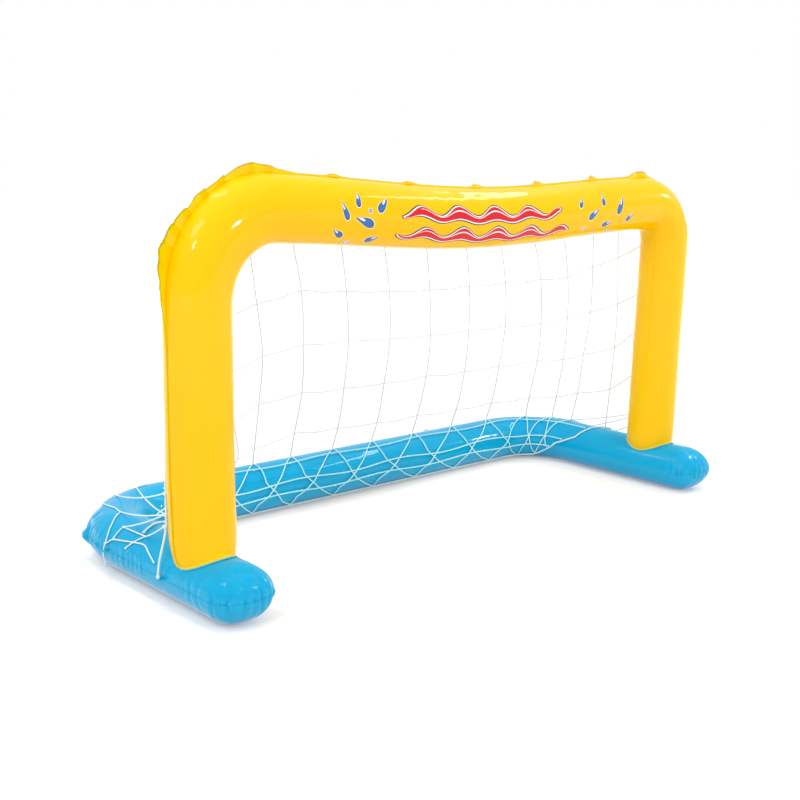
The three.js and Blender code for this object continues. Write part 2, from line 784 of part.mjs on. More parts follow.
const columnFoot = (k) => baseSkin(columnFootShares[k] * postX, footAngle, footLift);

// A column leaves the crossbar's back at the angle whose tangent it falls along.
function leaveAngle(k) {
  const [head, foot] = [columnHead(k, 90), columnFoot(k)];
  const start = (foot.y - head.y) * (1 - 4 * netBellyShare);
  return THREE.MathUtils.radToDeg(Math.atan2(head.z - foot.z, start)) + leaveMargin;
}

// A place on the hanging part of the net: a straight fall from the crossbar's back to
// the base, with a slack belly towards the front.
function netPlace(k, share) {
  const head = columnHead(k, leaveAngle(k));
  const foot = columnFoot(k);
  const place = head.clone().lerp(foot, share);
  place.x += netDriftShare * Math.sin(Math.PI * share) * (foot.x - head.x);
  place.y -= netBellyShare * (foot.y - head.y) * 4 * share * (1 - share);
  return place;
}

const rowShare = (j) => firstRowShare + j * rowPitchShare;

// The net's edge beside the rope on a post's back, at a share of the fall.
function netEdge(hand, share) {
  const height = lerp(columnHead(1, leaveAngle(1)).z, baseTopHeight, share);
  const lift = netCordHalf + netClear;
  if (height <= shoulderAt(hand)) {
    return postSkin(hand, height, postRopeTurn(hand, height) + edgeStep, lift);
  }
  const corner = range(stations.length).filter((i) =>
    stations[i].zone === (hand < 0 ? 'left corner' : 'right corner'));
  const edge = corner.map((i) => archSkin(i, ropeTurnAt(i) + edgeStep, lift));
  if (hand > 0) edge.reverse();
  const next = Math.max(1, edge.findIndex((p) => p.z >= height));
  const [from, to] = [edge[next - 1], edge[next]];
  return from.clone().lerp(to, (height - from.z) / (to.z - from.z));
}

// Knots are kept by column and row, then joined to their neighbours.
function netPatch(columns, placeOf) {
  const knots = [];
  const index = new Map();
  columns.forEach(({ k, rows }) => rows.forEach((j) => {
    index.set(`${k} ${j}`, knots.length);
    knots.push({ place: placeOf(k, j) });
  }));
  const across = [];
  const down = [];
  columns.forEach(({ k, rows }, c) => rows.forEach((j, r) => {
    const from = index.get(`${k} ${j}`);
    const beside = columns.slice(c + 1).find((column) => column.rows.includes(j));
    if (typeof j === 'number' && beside) across.push([from, index.get(`${beside.k} ${j}`)]);
    if (r + 1 < rows.length && !looseColumns.includes(k)) {
      down.push([from, index.get(`${k} ${rows[r + 1]}`)]);
    }
  }));
  const direction = (pairs, n, fallback) => {
    const sum = vec(0, 0, 0);
    pairs.filter((pair) => pair.includes(n)).forEach(([from, to]) => {
      sum.add(knots[to].place.clone().sub(knots[from].place).normalize());
    });
    return sum.lengthSq() ? sum.normalize() : fallback;
  };
  knots.forEach((knot, n) => {
    knot.across = direction(across, n, vec(1, 0, 0));
    knot.down = direction(down, n, vec(0, 0, -1));
  });
  return netSolid(knots, across, down, netCordHalf);
}

const looseColumns = ['near', 'rope'];
const sideRows = range(netRowCount);
const wholeColumn = ['top', 'wrap', 'roll', 'leave', ...sideRows, 'foot'];
const headShares = { top: 0, wrap: 0.33, roll: 0.67, leave: 1 };
const headStep = THREE.MathUtils.radToDeg(
  (ropeRadius + netCordHalf + 2 * seatGap) / (tubeWidth / 2),
);

function columnPlace(k, j) {
  if (j === 'foot') return columnFoot(k);
  if (j in headShares) {
    const start = headRopeAngle + headStep;
    return columnHead(k, lerp(start, leaveAngle(k), headShares[j]));
  }
  return netPlace(k, rowShare(j));
}

const rearNet = () =>
  netPatch(range(rearColumnCount).map((i) => ({ k: i + 1, rows: wholeColumn })), columnPlace);

// The net's side parts run from the outermost rear columns to the ropes on the posts.
const patchGap = 3 * netCordHalf + 2 * seatGap;

function leftPlace(k, j) {
  if (j === 'foot') return baseSkin(leftFootShares[k] * postX, footAngle, footLift);
  if (j === 'top') return netEdge(-1, leftTopShare);
  const near = netPlace(1, rowShare(j));
  const far = netEdge(-1, leftEdgeShares[j]);
  if (k === 'near') return near.lerp(far, patchGap / near.distanceTo(far));
  return k === 'rope' ? far : near.lerp(far, leftReachShares[k][j]);
}

function rightPlace(k, j) {
  if (k === 'near') {
    const [near, far] = [netPlace(rearColumnCount, rowShare(j)), rightPlace(9, j)];
    return near.lerp(far, patchGap / near.distanceTo(far));
  }
  if (k === 'rope') return netEdge(1, rightEdgeShares[j]);
  if (typeof j !== 'number') return columnPlace(k, j);
  return netPlace(k, rowShare(j) - rightRiseShares[k]);
}

const leftNet = () => netPatch([
  { k: 'rope', rows: sideRows },
  { k: 'outer', rows: ['top', ...sideRows.slice(1), 'foot'] },
  { k: 'inner', rows: [...sideRows, 'foot'] },
  { k: 'near', rows: sideRows },
], leftPlace);

const rightNet = () => netPatch([
  { k: 'near', rows: sideRows },
  { k: 9, rows: wholeColumn },
  { k: 10, rows: wholeColumn },
  { k: 11, rows: wholeColumn },
  { k: 'rope', rows: sideRows },
], rightPlace);

// The net's foot lies on the inside of the base, where its columns split and cross.
function footSkirt() {
  const lift = netCordHalf + skirtCordClear;
  const end = footRopeTurn(0) + footSkirtStop;
  const strand = (places) => cordSolid(laidRoute(places, lift), netCordHalf, 4);
  const feet = [...Object.values(leftFootShares), ...Object.values(columnFootShares)]
    .map((share) => share * postX).sort((a, b) => a - b);
  const rows = footRowAngles.map((degrees) => {
    const reach = footRopePlace(degrees) - footRowStop;
    return strand([[-reach, degrees], [-rearHalf, degrees], [rearHalf, degrees], [reach, degrees]]);
  });
  const crossings = feet.flatMap((foot, n) => [n - 1, n + 1]
    .filter((m) => m >= 0 && m < feet.length && Math.abs(feet[m]) < rearHalf + cornerRun / 4)
    .map((m) => strand([[foot, footAngle], [feet[m] - footShift, end]])));
  return joined([...rows, ...crossings]);
}

// Corner lacings: strands from the rope's low end over the base's corner and round its
// seam. Each place is a share of the way along the base's side and an angle, or a share
// of the height at which the rope leaves the post.
const leftOnlyStrands = 2;
const lacingShares = [
  [{ rope: 1.307 }, [0.2065, 113], [0.2718, 126]],
  [[0.0527, 97], [0.1011, 100], { rope: 1.067 }],
  [{ rope: 1.067 }, [0.453, 99], [0.4973, 127], [0.5246, 152], [0.5289, 172]],
  [[0.453, 99], [0.3898, 100], [0.2718, 126]],
  [{ rope: 1.067 }, [0.5731, 125], [0.5689, 151]],
  [[0.5731, 125], [0.7311, 123], { rope: 0.933 }],
  [[0.5289, 168], [0.5626, 154], [0.7459, 138], [0.7733, 138], [0.8702, 158]],
  [[0.7311, 123], [0.6679, 158]],
];
const lacingKnots = [[0.453, 99], [0.2718, 126], [0.5731, 125], [0.7311, 123]];
const lacingKnotRadius = 1.7;

function cornerLacing(hand) {
  const lift = tieRadius + ropeClear;
  const tail = ropeTail(hand);
  const onRope = (height) => {
    const next = tail.findIndex((p) => p.z < height);
    const [from, to] = [tail[next - 1], tail[next]];
    return from.clone().lerp(to, (height - from.z) / (to.z - from.z));
  };
  const loopRadius = ropeRadius + tieRadius + seatGap;
  const loopAt = (height) => {
    const centre = onRope(height);
    return cordSolid(range(8).map((i) => {
      const turn = (Math.PI * i) / 4;
      return centre.clone().add(
        vec(loopRadius * Math.cos(turn), loopRadius * Math.sin(turn), 0),
      );
    }), tieRadius, 4, true);
  };
  const used = lacingShares.slice(hand < 0 ? 0 : leftOnlyStrands);
  const onBase = ([share, degrees]) => [hand * sidePlace(share), degrees];
  const strands = used.map((places) => {
    const route = laidRoute(places.filter(Array.isArray).map(onBase), lift);
    const end = places.find(({ rope }) => rope);
    if (!end) return cordSolid(route, tieRadius, 4);
    const centre = onRope(end.rope * ropeLeaveHeight);
    const first = places[0] === end;
    const near = first ? route[0] : route[route.length - 1];
    const tip = centre.clone().add(
      near.clone().sub(centre).setZ(0).setLength(loopRadius),
    );
    return cordSolid(first ? [tip, ...route] : [...route, tip], tieRadius, 4);
  });
  const loops = [...new Set(used.flat().map(({ rope }) => rope).filter(Boolean))]
    .map((share) => loopAt(share * ropeLeaveHeight));
  const knots = lacingKnots.map((place) => knotBall(baseSkin(...onBase(place), lift), lacingKnotRadius));
  return joined([...strands, ...loops, ...knots]);
}

// Valves

// A valve is built upright on its own axis, with the film at height zero and a drop of
// the film towards both sides, and is then turned to its place.
const ringOf = (profile, drop = () => 0) => ringSolid(range(valveSides).map((i) => {
  const turn = (2 * Math.PI * i) / valveSides;
  return profile.map(([radius, height]) => {
    const across = radius * Math.sin(turn);
    const sag = radius > valveNeckRadius ? drop(across) : 0;
    return vec(radius * Math.cos(turn), across, height - sag);
  });
}));

const lathe = (profile) => new THREE.LatheGeometry(
  profile.map(([radius, height]) => new THREE.Vector2(radius, height)), valveSides,
).rotateX(Math.PI / 2);

const flangeTop = seatGap + valveDiscThickness;
const rimTop = flangeTop + valveFit + stemRimThickness;
const stemEnd = flangeTop + valveFit - stemDepth;
const plugUnder = rimTop + valveFit;

function valveFlange(filmRadius) {
  const drop = (across) => filmRadius - Math.sqrt(filmRadius ** 2 - across ** 2);
  return ringOf([
    [valveNeckBore, -valveNeckDepth], [valveNeckRadius, -valveNeckDepth],
    [valveNeckRadius, seatGap], [valveDiscRadius, seatGap],
    [valveDiscRadius, flangeTop], [valveNeckBore, flangeTop],
  ], drop);
}

const valveStem = () => ringOf([
  [stemBore, stemEnd], [stemRadius, stemEnd],
  [stemRadius, flangeTop + valveFit], [stemRimRadius, flangeTop + valveFit],
  [stemRimRadius, rimTop], [stemBore, rimTop],
]);

function valvePlug() {
  const shank = stemBore - valveFit;
  const body = lathe([
    [0, plugUnder - plugShankDepth], [plugShankTip, plugUnder - plugShankDepth],
    [shank, plugUnder], [plugRadius, plugUnder],
    [plugRadius, plugUnder + plugThickness], [0, plugUnder + plugThickness],
  ]);
  const lug = new THREE.BoxGeometry(plugLugReach + plugRadius / 2, plugLugWidth, plugThickness)
    .translate(plugRadius * 0.75 + plugLugReach / 2, 0, plugUnder + plugThickness / 2);
  const grip = new THREE.CylinderGeometry(
    plugGripRadius, plugGripRadius, plugGripHeight + plugThickness / 2, valveSides / 2,
  ).rotateX(Math.PI / 2).translate(
    0, 0, plugUnder + plugThickness + plugGripHeight / 2 - plugThickness / 4,
  );
  return joined([body, lug, grip]);
}

const valveFlap = () => new THREE.CylinderGeometry(
  flapRadius, flapRadius, flapThickness, valveSides,
).rotateX(Math.PI / 2).translate(0, 0, stemEnd - valveFit - flapThickness / 2);

const valveHole = () => {
  const length = valveNeckDepth + cutOverrun;
  return new THREE.CylinderGeometry(
    valveNeckRadius + valveHoleClear, valveNeckRadius + valveHoleClear, length, valveSides,
  ).rotateX(Math.PI / 2);
};

// Where a valve stands on a chamber's skin: its own x runs along the chamber, z outwards.
function valveFrame(along, skinAt, degrees) {
  const spot = skinAt(degrees);
  const across = skinAt(degrees + 1).sub(spot).normalize();
  const out = along.clone().cross(across);
  return new THREE.Matrix4().makeBasis(along, out.clone().cross(along), out).setPosition(spot);
}
const archValve = valveFrame(
  vec(0, 0, 1), (degrees) => postSkin(-1, archValveHeight, degrees, 0), archValveAngle,
);
const baseValve = valveFrame(
  vec(1, 0, 0), (degrees) => baseSkin(baseValvePlace, degrees, 0), baseValveAngle,
);
const turned = (geometry, frame) => geometry.clone().applyMatrix4(frame);

// Materials

const finish = (color, roughness) =>
  new THREE.MeshStandardMaterial({ color, roughness, metalness: 0 });
const yellowFilm = finish(0xffcc00, 0.25);
const blueFilm = finish(0x1ba6e0, 0.25);
const paleWeld = finish(0xe6e27a, 0.35);
const clearTab = finish(0xf2e9b8, 0.35);
const netCord = finish(0xe9ecec, 0.75);
const valvePlastic = finish(0xdfe6ea, 0.35);
const plugPlastic = finish(0x2d8fc4, 0.4);

// The goal

const goal = new THREE.Group();

function addPiece(name, geometry, material) {
  const merged = tidy(geometry);
  const split = merged.toNonIndexed();
  split.computeVertexNormals();
  const mesh = new THREE.Mesh(split, material);
  mesh.name = name;
  goal.add(mesh);
}

addPiece('arch_front_sheet', archSheet(-1), yellowFilm);
addPiece('arch_back_sheet', cut(archSheet(1), turned(valveHole(), archValve)), yellowFilm);
addPiece('base_top_sheet', cut(baseSheet(1), turned(valveHole(), baseValve)), blueFilm);
addPiece('base_bottom_sheet', baseSheet(-1), blueFilm);
addPiece('left_post_weld_skirt', weldSkirt(-1), paleWeld);
addPiece('right_post_weld_skirt', weldSkirt(1), paleWeld);

headTabs().forEach((tab, i) => {
  const place = tab.spot.clone().addScaledVector(tab.up, weldLipWidth);
  const reach = tab.up;
  const normal = vec(0, 1, 0);
  const across = reach.clone().cross(normal);
  const plate = placed(tabPlate(headTabWidth, headTabReach), across, reach, normal, place);
  addPiece(`head_tab_${i + 1}`, plate, clearTab);
  addPiece(`head_tie_${i + 1}`, headTie(tab), netCord);
});

function baseTab(along) {
  const { spot, out } = basePath(along);
  spot.addScaledVector(out, baseHalfWidth + weldLipWidth).setZ(baseTabUnder);
  const across = out.clone().cross(vec(0, 0, 1));
  return placed(tabPlate(baseTabWidth, baseTabReach), across, out, vec(0, 0, 1), spot);
}

const sideTabPlace = postPlace - sideTabSetback;
const cornerTabPlace = sidePlace(cornerTabShare);
addPiece('left_side_tab', baseTab(-sideTabPlace), blueFilm);
addPiece('right_side_tab', baseTab(sideTabPlace), blueFilm);
addPiece('left_corner_tab', baseTab(-cornerTabPlace), blueFilm);
addPiece('right_corner_tab', baseTab(cornerTabPlace), blueFilm);

addPiece('net_edge_rope', edgeRope(), netCord);
addPiece('net_foot_rope', footRope(), netCord);
addPiece('net_rear_panel', rearNet(), netCord);
addPiece('net_left_panel', leftNet(), netCord);
addPiece('net_right_panel', rightNet(), netCord);
addPiece('net_foot_skirt', footSkirt(), netCord);
addPiece('left_corner_lacing', cornerLacing(-1), netCord);
addPiece('right_corner_lacing', cornerLacing(1), netCord);

[['arch', archValve, tubeWidth / 2], ['base', baseValve, baseHalfWidth]]
  .forEach(([chamber, frame, filmRadius]) => {
    const add = (piece, geometry, material) =>
      addPiece(`${chamber}_valve_${piece}`, turned(geometry, frame), material);
    add('flange', valveFlange(filmRadius), valvePlastic);
    add('stem', valveStem(), valvePlastic);
    add('plug', valvePlug(), plugPlastic);
    add('check_flap', valveFlap(), valvePlastic);
  });

export default goal;
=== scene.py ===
# An inflatable water polo goal: glossy film tubes, a cord net, laced ropes and valves.
# Lengths are worked out in millimetres in the part's own frame and made metres in the mesh.

import bpy
import numpy as np
from mathutils import Matrix, Vector


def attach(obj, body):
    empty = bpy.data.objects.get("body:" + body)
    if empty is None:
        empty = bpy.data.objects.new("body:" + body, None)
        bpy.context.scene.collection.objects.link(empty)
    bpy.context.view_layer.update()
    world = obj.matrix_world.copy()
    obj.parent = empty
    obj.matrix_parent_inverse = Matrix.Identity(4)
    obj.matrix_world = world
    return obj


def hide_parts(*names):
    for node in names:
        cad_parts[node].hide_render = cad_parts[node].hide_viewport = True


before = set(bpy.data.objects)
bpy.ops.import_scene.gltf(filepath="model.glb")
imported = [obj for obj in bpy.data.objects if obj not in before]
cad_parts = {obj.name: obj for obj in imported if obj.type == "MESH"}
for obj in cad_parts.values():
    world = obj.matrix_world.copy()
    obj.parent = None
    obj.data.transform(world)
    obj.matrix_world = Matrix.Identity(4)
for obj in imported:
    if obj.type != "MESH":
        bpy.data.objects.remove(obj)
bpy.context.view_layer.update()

MM = 0.001
BODY = "goal"
ENDS = {"left": -1, "right": 1}

# Base tube, as in the part
REAR_HALF, CORNER_RADIUS, REAR_Y, NOSE_Y, POST_X = 495.0, 150.0, 240.0, -240.0, 645.0
CORNER_RUN = np.pi / 2 * CORNER_RADIUS
SIDE_RUN = REAR_Y - CORNER_RADIUS - NOSE_Y
POST_PLANE = -149.0
POST_PLACE = REAR_HALF + CORNER_RUN + REAR_Y - CORNER_RADIUS - POST_PLANE
BASE_HALF, LIP = 60.0, 4.0
CROWN_FOOT, CROWN_RISE = 50.6, 50.9
BELLY_LEVEL, BELLY_DEPTH = 49.4, 52.0
LIP_SHADOW = np.degrees(np.arccos(BASE_HALF / (BASE_HALF + LIP)))
FILM = 0.58
CLOSED_LIP = 0.7

# The seam's pinched ear: its outward way in plan, how far it stands out, its half width and
# how fast it fades over the film
EAR_WAY = np.array([-0.90, 0.436])
EAR_RISE, EAR_HALF, EAR_FADE = 10.5, 17.0, (12.0, 16.0)

# Arch tube, as in the part
ARCH_TOP, TUBE_HALF, TUBE_DEPTH, SAG = 727.0, 58.0, 54.0, 25.0
LEFT_RADII, RIGHT_RADII = (196.0, 98.0), (160.0, 34.0)
FOOT_HALF, FOOT_DEPTH, FOOT_LEVEL, KNEE = 54.0, 51.0, 101.5, 251.5
POST_STATIONS, LEFT_BEND, RIGHT_BEND, BAR_STATIONS = 63, 131, 90, 262
BAR_OUTER, BAR_INNER = (-507.0, 543.0), (-489.0, 553.0)

# Each post's weld line: how far out and ahead of the post, and its half width and depth
WELD = {-1: (2.5, -12.0, 47.0, 60.0), 1: (0.0, 0.0, 46.0, 56.0)}

# The ruffle by shares of the left corner's turn: its width, and where its folds start
RUFFLE = [(-0.28, 2.2), (-0.1, 6), (0, 11), (0.09, 14), (0.15, 24), (0.262, 29), (0.278, 21),
          (0.36, 25), (0.378, 15), (0.47, 19), (0.486, 10), (0.55, 13), (0.61, 15),
          (0.622, 9), (0.7, 10), (0.745, 13), (0.757, 9), (0.84, 16), (0.92, 18.5),
          (0.98, 16), (1.1, 8), (1.22, 3)]
FOLDS = [-0.28, 0.27, 0.369, 0.478, 0.616, 0.751, 0.935, 1.06, 1.22]
TAB_PITCH, TAB_REACH = 181.0, 6.5
TAB_LEAN = (35, 62, 62, 50, 28, 18, 12)

# The edge rope: its height at each shoulder, where it leaves a post and its turn round it
SHOULDER = {-1: 531.0, 1: 567.0}
ROPE_LEAVE, ROPE_LOW_TURN, ROPE_TURN, BAR_ROPE_TURN = 150.0, 38.0, 80.0, 24.0


# Camera

def photo_camera():
    """The photograph's view: where it stands, where it looks and how wide it sees."""
    right = Vector((0.73610, -0.67650, 0.02228))
    up = Vector((0.13705, 0.18119, 0.97385))
    ahead = Vector((0.66285, 0.71380, -0.22609))
    data = bpy.data.cameras.new("photo_camera")
    data.sensor_width, data.lens = 36.0, 51.462
    data.shift_x, data.shift_y = 0.0008, 0.03626
    data.clip_start, data.clip_end = 0.05, 60.0
    camera = bpy.data.objects.new("photo_camera", data)
    bpy.context.scene.collection.objects.link(camera)
    turn = Matrix((right, up, -ahead)).transposed().to_4x4()
    camera.matrix_world = Matrix.Translation((-1.6609, -1.7306, 0.7459)) @ turn
    bpy.context.scene.camera = camera


photo_camera()


# Meshes

def unit(v):
    """Vectors along the last axis, made one long."""
    return v / np.maximum(np.linalg.norm(v, axis=-1, keepdims=True), 1e-12)


def mix(a, b, t):
    """The place a share t of the way from a to b."""
    return a + (b - a) * t


def ease(t):
    """A smooth step from 0 to 1: three t squared less two t cubed."""
    t = np.clip(t, 0, 1)
    return t * t * (3 - 2 * t)


def distances(points):
    """The way along a line of points from its start."""
    steps = np.linalg.norm(np.diff(points, axis=0), axis=-1)
    return np.concatenate([[0], np.cumsum(steps)])


def at_height(line, height):
    """The place at a height on a line that rises or falls all the way."""
    line = line if line[0, 2] < line[-1, 2] else line[::-1]
    return np.array([np.interp(height, line[:, 2], line[:, k]) for k in range(3)])


def grid_faces(rows, columns, ring_rows=False, ring_columns=False):
    """Quads of a grid of points, each from one point to its three next neighbours."""
    i = np.arange(rows if ring_rows else rows - 1)[:, None]
    j = np.arange(columns if ring_columns else columns - 1)[None, :]
    a, b = i * columns + j, (i + 1) % rows * columns + j
    c, d = (i + 1) % rows * columns + (j + 1) % columns, i * columns + (j + 1) % columns
    return np.stack([a, b, c, d], -1).reshape(-1, 4)


def merged(points, faces, reach=1e-3):
    """Points in one place become one, and quads with a closed side become triangles."""
    cells = np.round(points / reach).astype(np.int64)
    _, first, index = np.unique(cells, axis=0, return_index=True, return_inverse=True)
    faces = index.reshape(-1)[faces]
    same = faces == np.roll(faces, -1, axis=1)
    pinched = same.sum(1) == 1
    polygons = [faces[~same.any(1)], faces[pinched][~same[pinched]].reshape(-1, 3)]
    return points[first], [p for p in polygons if len(p)], first


def point_normals(points, polygons):
    """Each point's normal: the sum of its faces' cross products, made one long."""
    normals = np.zeros_like(points)
    for p in polygons:
        cross = np.cross(points[p[:, 2]] - points[p[:, 0]], points[p[:, -1]] - points[p[:, 1]])
        for k in range(p.shape[1]):
            np.add.at(normals, p[:, k], cross)
    return unit(normals)


def facing_out(points, polygons, centres):
    """Turns the faces round if they look towards the given centres."""
    away = (point_normals(points, polygons) * (points - centres)).sum(-1).sum()
    return polygons if away > 0 else [p[:, ::-1] for p in polygons]


def closed_mesh(grid, rings):
    """A closed mesh from a grid, turned out: its signed volume, by triangles, is above 0."""
    points, polygons, _ = merged(grid.reshape(-1, 3), grid_faces(*grid.shape[:2], *rings), 1e-4)
    volume = 0.0
    for p in polygons:
        for k in range(1, p.shape[1] - 1):
            a, b, c = points[p[:, 0]], points[p[:, k]], points[p[:, k + 1]]
            volume += (a * np.cross(b, c)).sum()
    return points, polygons if volume >= 0 else [p[:, ::-1] for p in polygons]


def stacked(parts):
    """Several shapes in one mesh."""
    points, polygons, shift = [], [], 0
    for place, faces in parts:
        points.append(place)
        polygons += [p + shift for p in faces]
        shift += len(place)
    return np.concatenate(points), polygons


def walled(points, polygons, thickness):
    """A thin wall: the surface, a copy moved in along its normals, and a rim round edges."""
    inner = points - thickness * point_normals(points, polygons)
    shift = len(points)
    sides = [np.stack([p[:, k], p[:, (k + 1) % p.shape[1]]], 1)
             for p in polygons for k in range(p.shape[1])]
    edges = np.concatenate(sides)
    _, first, count = np.unique(
        np.sort(edges, 1), axis=0, return_index=True, return_counts=True)
    rim = edges[first[count == 1]]
    wall = np.stack([rim[:, 1], rim[:, 0], rim[:, 0] + shift, rim[:, 1] + shift], 1)
    inside = [p[:, ::-1] + shift for p in polygons]
    return np.concatenate([points, inner]), [*polygons, *inside, wall]


def new_piece(name, points, polygons, material, slot, nodes=(), body=BODY, crease=40,
              marks=None, uv=None):
    """Makes an object from points in millimetres and rides it on a body; its slot is not used."""
    mesh = bpy.data.meshes.new(name)
    faces = [face for p in polygons for face in p.tolist()]
    mesh.from_pydata((points * MM).tolist(), [], faces)
    mesh.polygons.foreach_set("use_smooth", np.ones(len(faces), bool))
    mesh.set_sharp_from_angle(angle=np.radians(crease))
    for label, values in (marks or {}).items():
        layer = mesh.attributes.new(label, "FLOAT", "POINT")
        layer.data.foreach_set("value", values.astype(np.float32))
    if uv is not None:
        mesh.uv_layers.new(name="UVMap").data.foreach_set("uv", uv.astype(np.float32).ravel())
    mesh.materials.append(material)
    piece = bpy.data.objects.new(name, mesh)
    bpy.context.scene.collection.objects.link(piece)
    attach(piece, body)
    if nodes:
        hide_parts(*nodes)


# Base chamber

def base_path(along):
    """The crest line in plan: straight at the back, a quarter circle at each corner, and
    straight down each side, by the distance along from the middle."""
    hand = np.where(along < 0, -1.0, 1.0)
    run = np.abs(along) - REAR_HALF
    turn = np.clip(run / CORNER_RADIUS, 0, np.pi / 2)
    x = hand * (np.minimum(np.abs(along), REAR_HALF) + CORNER_RADIUS * np.sin(turn))
    y = REAR_Y - CORNER_RADIUS * (1 - np.cos(turn)) - np.maximum(run - CORNER_RUN, 0)
    return np.stack([x, y], -1), np.stack([hand * np.sin(turn), np.cos(turn)], -1)


def base_skin(along, degrees, lift):
    """A place on the base's skin or a lift above it: a half ellipse above the seam and one
    below, swung from the inner seam at 0 over the crest at 90 to the outer seam at 180."""
    along, degrees, lift = np.broadcast_arrays(
        np.asarray(along, float), np.asarray(degrees, float), np.asarray(lift, float))
    spot, out = base_path(along)
    turn = np.radians(degrees)
    from_seam = np.minimum(np.abs(degrees), np.abs(degrees - 180))
    over_lip = LIP * np.maximum(0, 1 - from_seam / LIP_SHADOW)
    reach = -(BASE_HALF + lift + over_lip) * np.cos(turn)
    above = np.sin(turn) >= 0
    z = np.where(above, CROWN_FOOT, BELLY_LEVEL) \
        + (np.where(above, CROWN_RISE, BELLY_DEPTH) + lift) * np.sin(turn)
    return np.concatenate([spot + out * reach[..., None], np.maximum(z, lift)[..., None]], -1)


def base_normal(along, degrees):
    """The skin's outward direction at a place, from the same angle."""
    _, out = base_path(np.asarray(along, float))
    turn = np.radians(np.asarray(degrees, float))
    flat = out * -np.cos(turn)[..., None]
    return np.concatenate([flat, np.sin(turn)[..., None]], -1)


NOSE_POWERS = 3.2, 2.5  # bluntness towards +x and towards -x
NOSE_WEIGHT = 1.15


def base_loop():
    """The closed way round the U: its outside, a half turn about each nose, its inside, and
    how tight the seam is there. The noses are blunt: superellipses in plan, where one power
    of x and of y adds up to one."""
    half = REAR_HALF + CORNER_RUN + SIDE_RUN
    bounds = [-half, -REAR_HALF - CORNER_RUN, -REAR_HALF, REAR_HALF, REAR_HALF + CORNER_RUN]
    stops = np.concatenate([
        np.linspace(a, b, n)[:-1]
        for a, b, n in zip(bounds, [*bounds[1:], half], (104, 104, 130, 104, 104))] + [[half]])
    spot, out = base_path(stops)
    turns = np.linspace(0, np.pi, 92)[1:-1]

    def nose(at, way):
        cos, sin = np.cos(turns), np.sin(-turns)
        swung = np.stack([way[0] * cos - way[1] * sin, way[0] * sin + way[1] * cos], -1)
        power = np.where(swung[:, :1] > 0, *NOSE_POWERS)
        square = (np.abs(swung) ** power).sum(-1, keepdims=True) ** (-1 / power)
        return np.repeat(at[None], len(turns), 0), swung * square

    right_spot, right_out = nose(spot[-1], out[-1])
    left_spot, left_out = nose(spot[0], -out[0])
    far = np.abs(stops)
    tight = np.maximum.reduce([
        ease(1 - np.abs(far - REAR_HALF - 0.62 * CORNER_RUN) / (0.8 * CORNER_RUN)),
        0.75 * ease(1 - np.abs(far - REAR_HALF - 330) / 110),
        1.1 * ease((far - half + 90) / 90)])
    inside = 0.7 * ease((far - half + 60) / 60) + 0.03
    noses = np.full(len(turns), NOSE_WEIGHT)
    weight = np.concatenate([0.07 + tight, noses, inside[::-1], noses])
    return (np.concatenate([spot, right_spot, spot[::-1], left_spot]),
            np.concatenate([out, right_out, -out[::-1], left_out]), weight)


def pucker_table(seed, pitch, depth, length, along, tight):
    """Puckers along a seam: places a seeded pitch apart, each with a depth by how tight the
    seam is there, a width, a reach over the film and a slant."""
    rng = np.random.default_rng(seed)
    place = np.cumsum(rng.uniform(0.55, 1.5, int(1.3 * length / pitch)) * pitch)
    place = place[place < length - pitch / 2]
    count = len(place)
    weight = np.interp(place, along, tight)
    return np.stack([
        place, depth * weight * rng.uniform(0.35, 1.0, count),
        rng.uniform(1.7, 4.0, count), rng.uniform(9, 26, count) * (0.6 + 0.6 * weight),
        rng.uniform(-0.35, 0.35, count)], -1)


def puckers(table, along, away):
    """How far the film dips: for each pucker a valley across the seam that widens and
    fades with the distance away from it, with a low swell on both sides."""
    place, depth, width, reach, slant = (table[:, k] for k in range(5))
    x = along[..., None] - place - slant * away[..., None]
    wide = width * (1 + away[..., None] / reach)
    fade = np.exp(-(away[..., None] / reach) ** 1.5)
    valley = np.exp(-(x / wide) ** 2) - 0.45 * np.exp(-(x / (2.3 * wide)) ** 2)
    return (depth * fade * valley).sum(-1)


def swells(points, sizes, count=24):
    """A slow unevenness: for each size a height times the mean of sine waves with seeded
    directions and phases."""
    total = 0.0
    for height, seed, size in sizes:
        rng = np.random.default_rng(seed)
        way = unit(rng.normal(size=(count, 3)))
        way = way * (2 * np.pi / (size * rng.uniform(0.6, 1.6, (count, 1))))
        phase = rng.uniform(0, 2 * np.pi, count)
        total = total + height * (np.sin(points @ way.T + phase).mean(-1) * np.sqrt(2.0))
    return total


def lip_waves(seed, along):
    """The lip's own ripple: three sines of unequal lengths with a seeded phase."""
    phase = np.random.default_rng(seed).uniform(0, 2 * np.pi, 3)
    return (np.sin(along / 4.1 + phase[0]) + 0.8 * np.sin(along / 6.7 + phase[1])
            + 0.6 * np.sin(along / 11.3 + phase[2])) / 1.6


# Each valve's spot, and its axes as rows, the last one out of the film
VALVES = {
    "arch": (np.array([-603.988, -110.816, 330.0]),
             np.array([[0, 0, 1], [0.725931, -0.687767, 0], [0.687767, 0.725931, 0]])),
    "base": (np.array([300.0, 280.920, 87.826]),
             np.array([[1, 0, 0], [0, 0.778951, -0.627085], [0, 0.627085, 0.778951]])),
}
DISC_REACH, DISC_FADE = 17, 22
NECK_REACH, NECK_DEPTH = 10, 12


def valve_calm(points):
    """0 under the valves' discs, where the film lies flat on them, and 1 away from them."""
    calm = np.ones(points.shape[:-1])
    for spot, _ in VALVES.values():
        calm = calm * ease((np.linalg.norm(points - spot, axis=-1) - DISC_REACH) / DISC_FADE)
    return calm


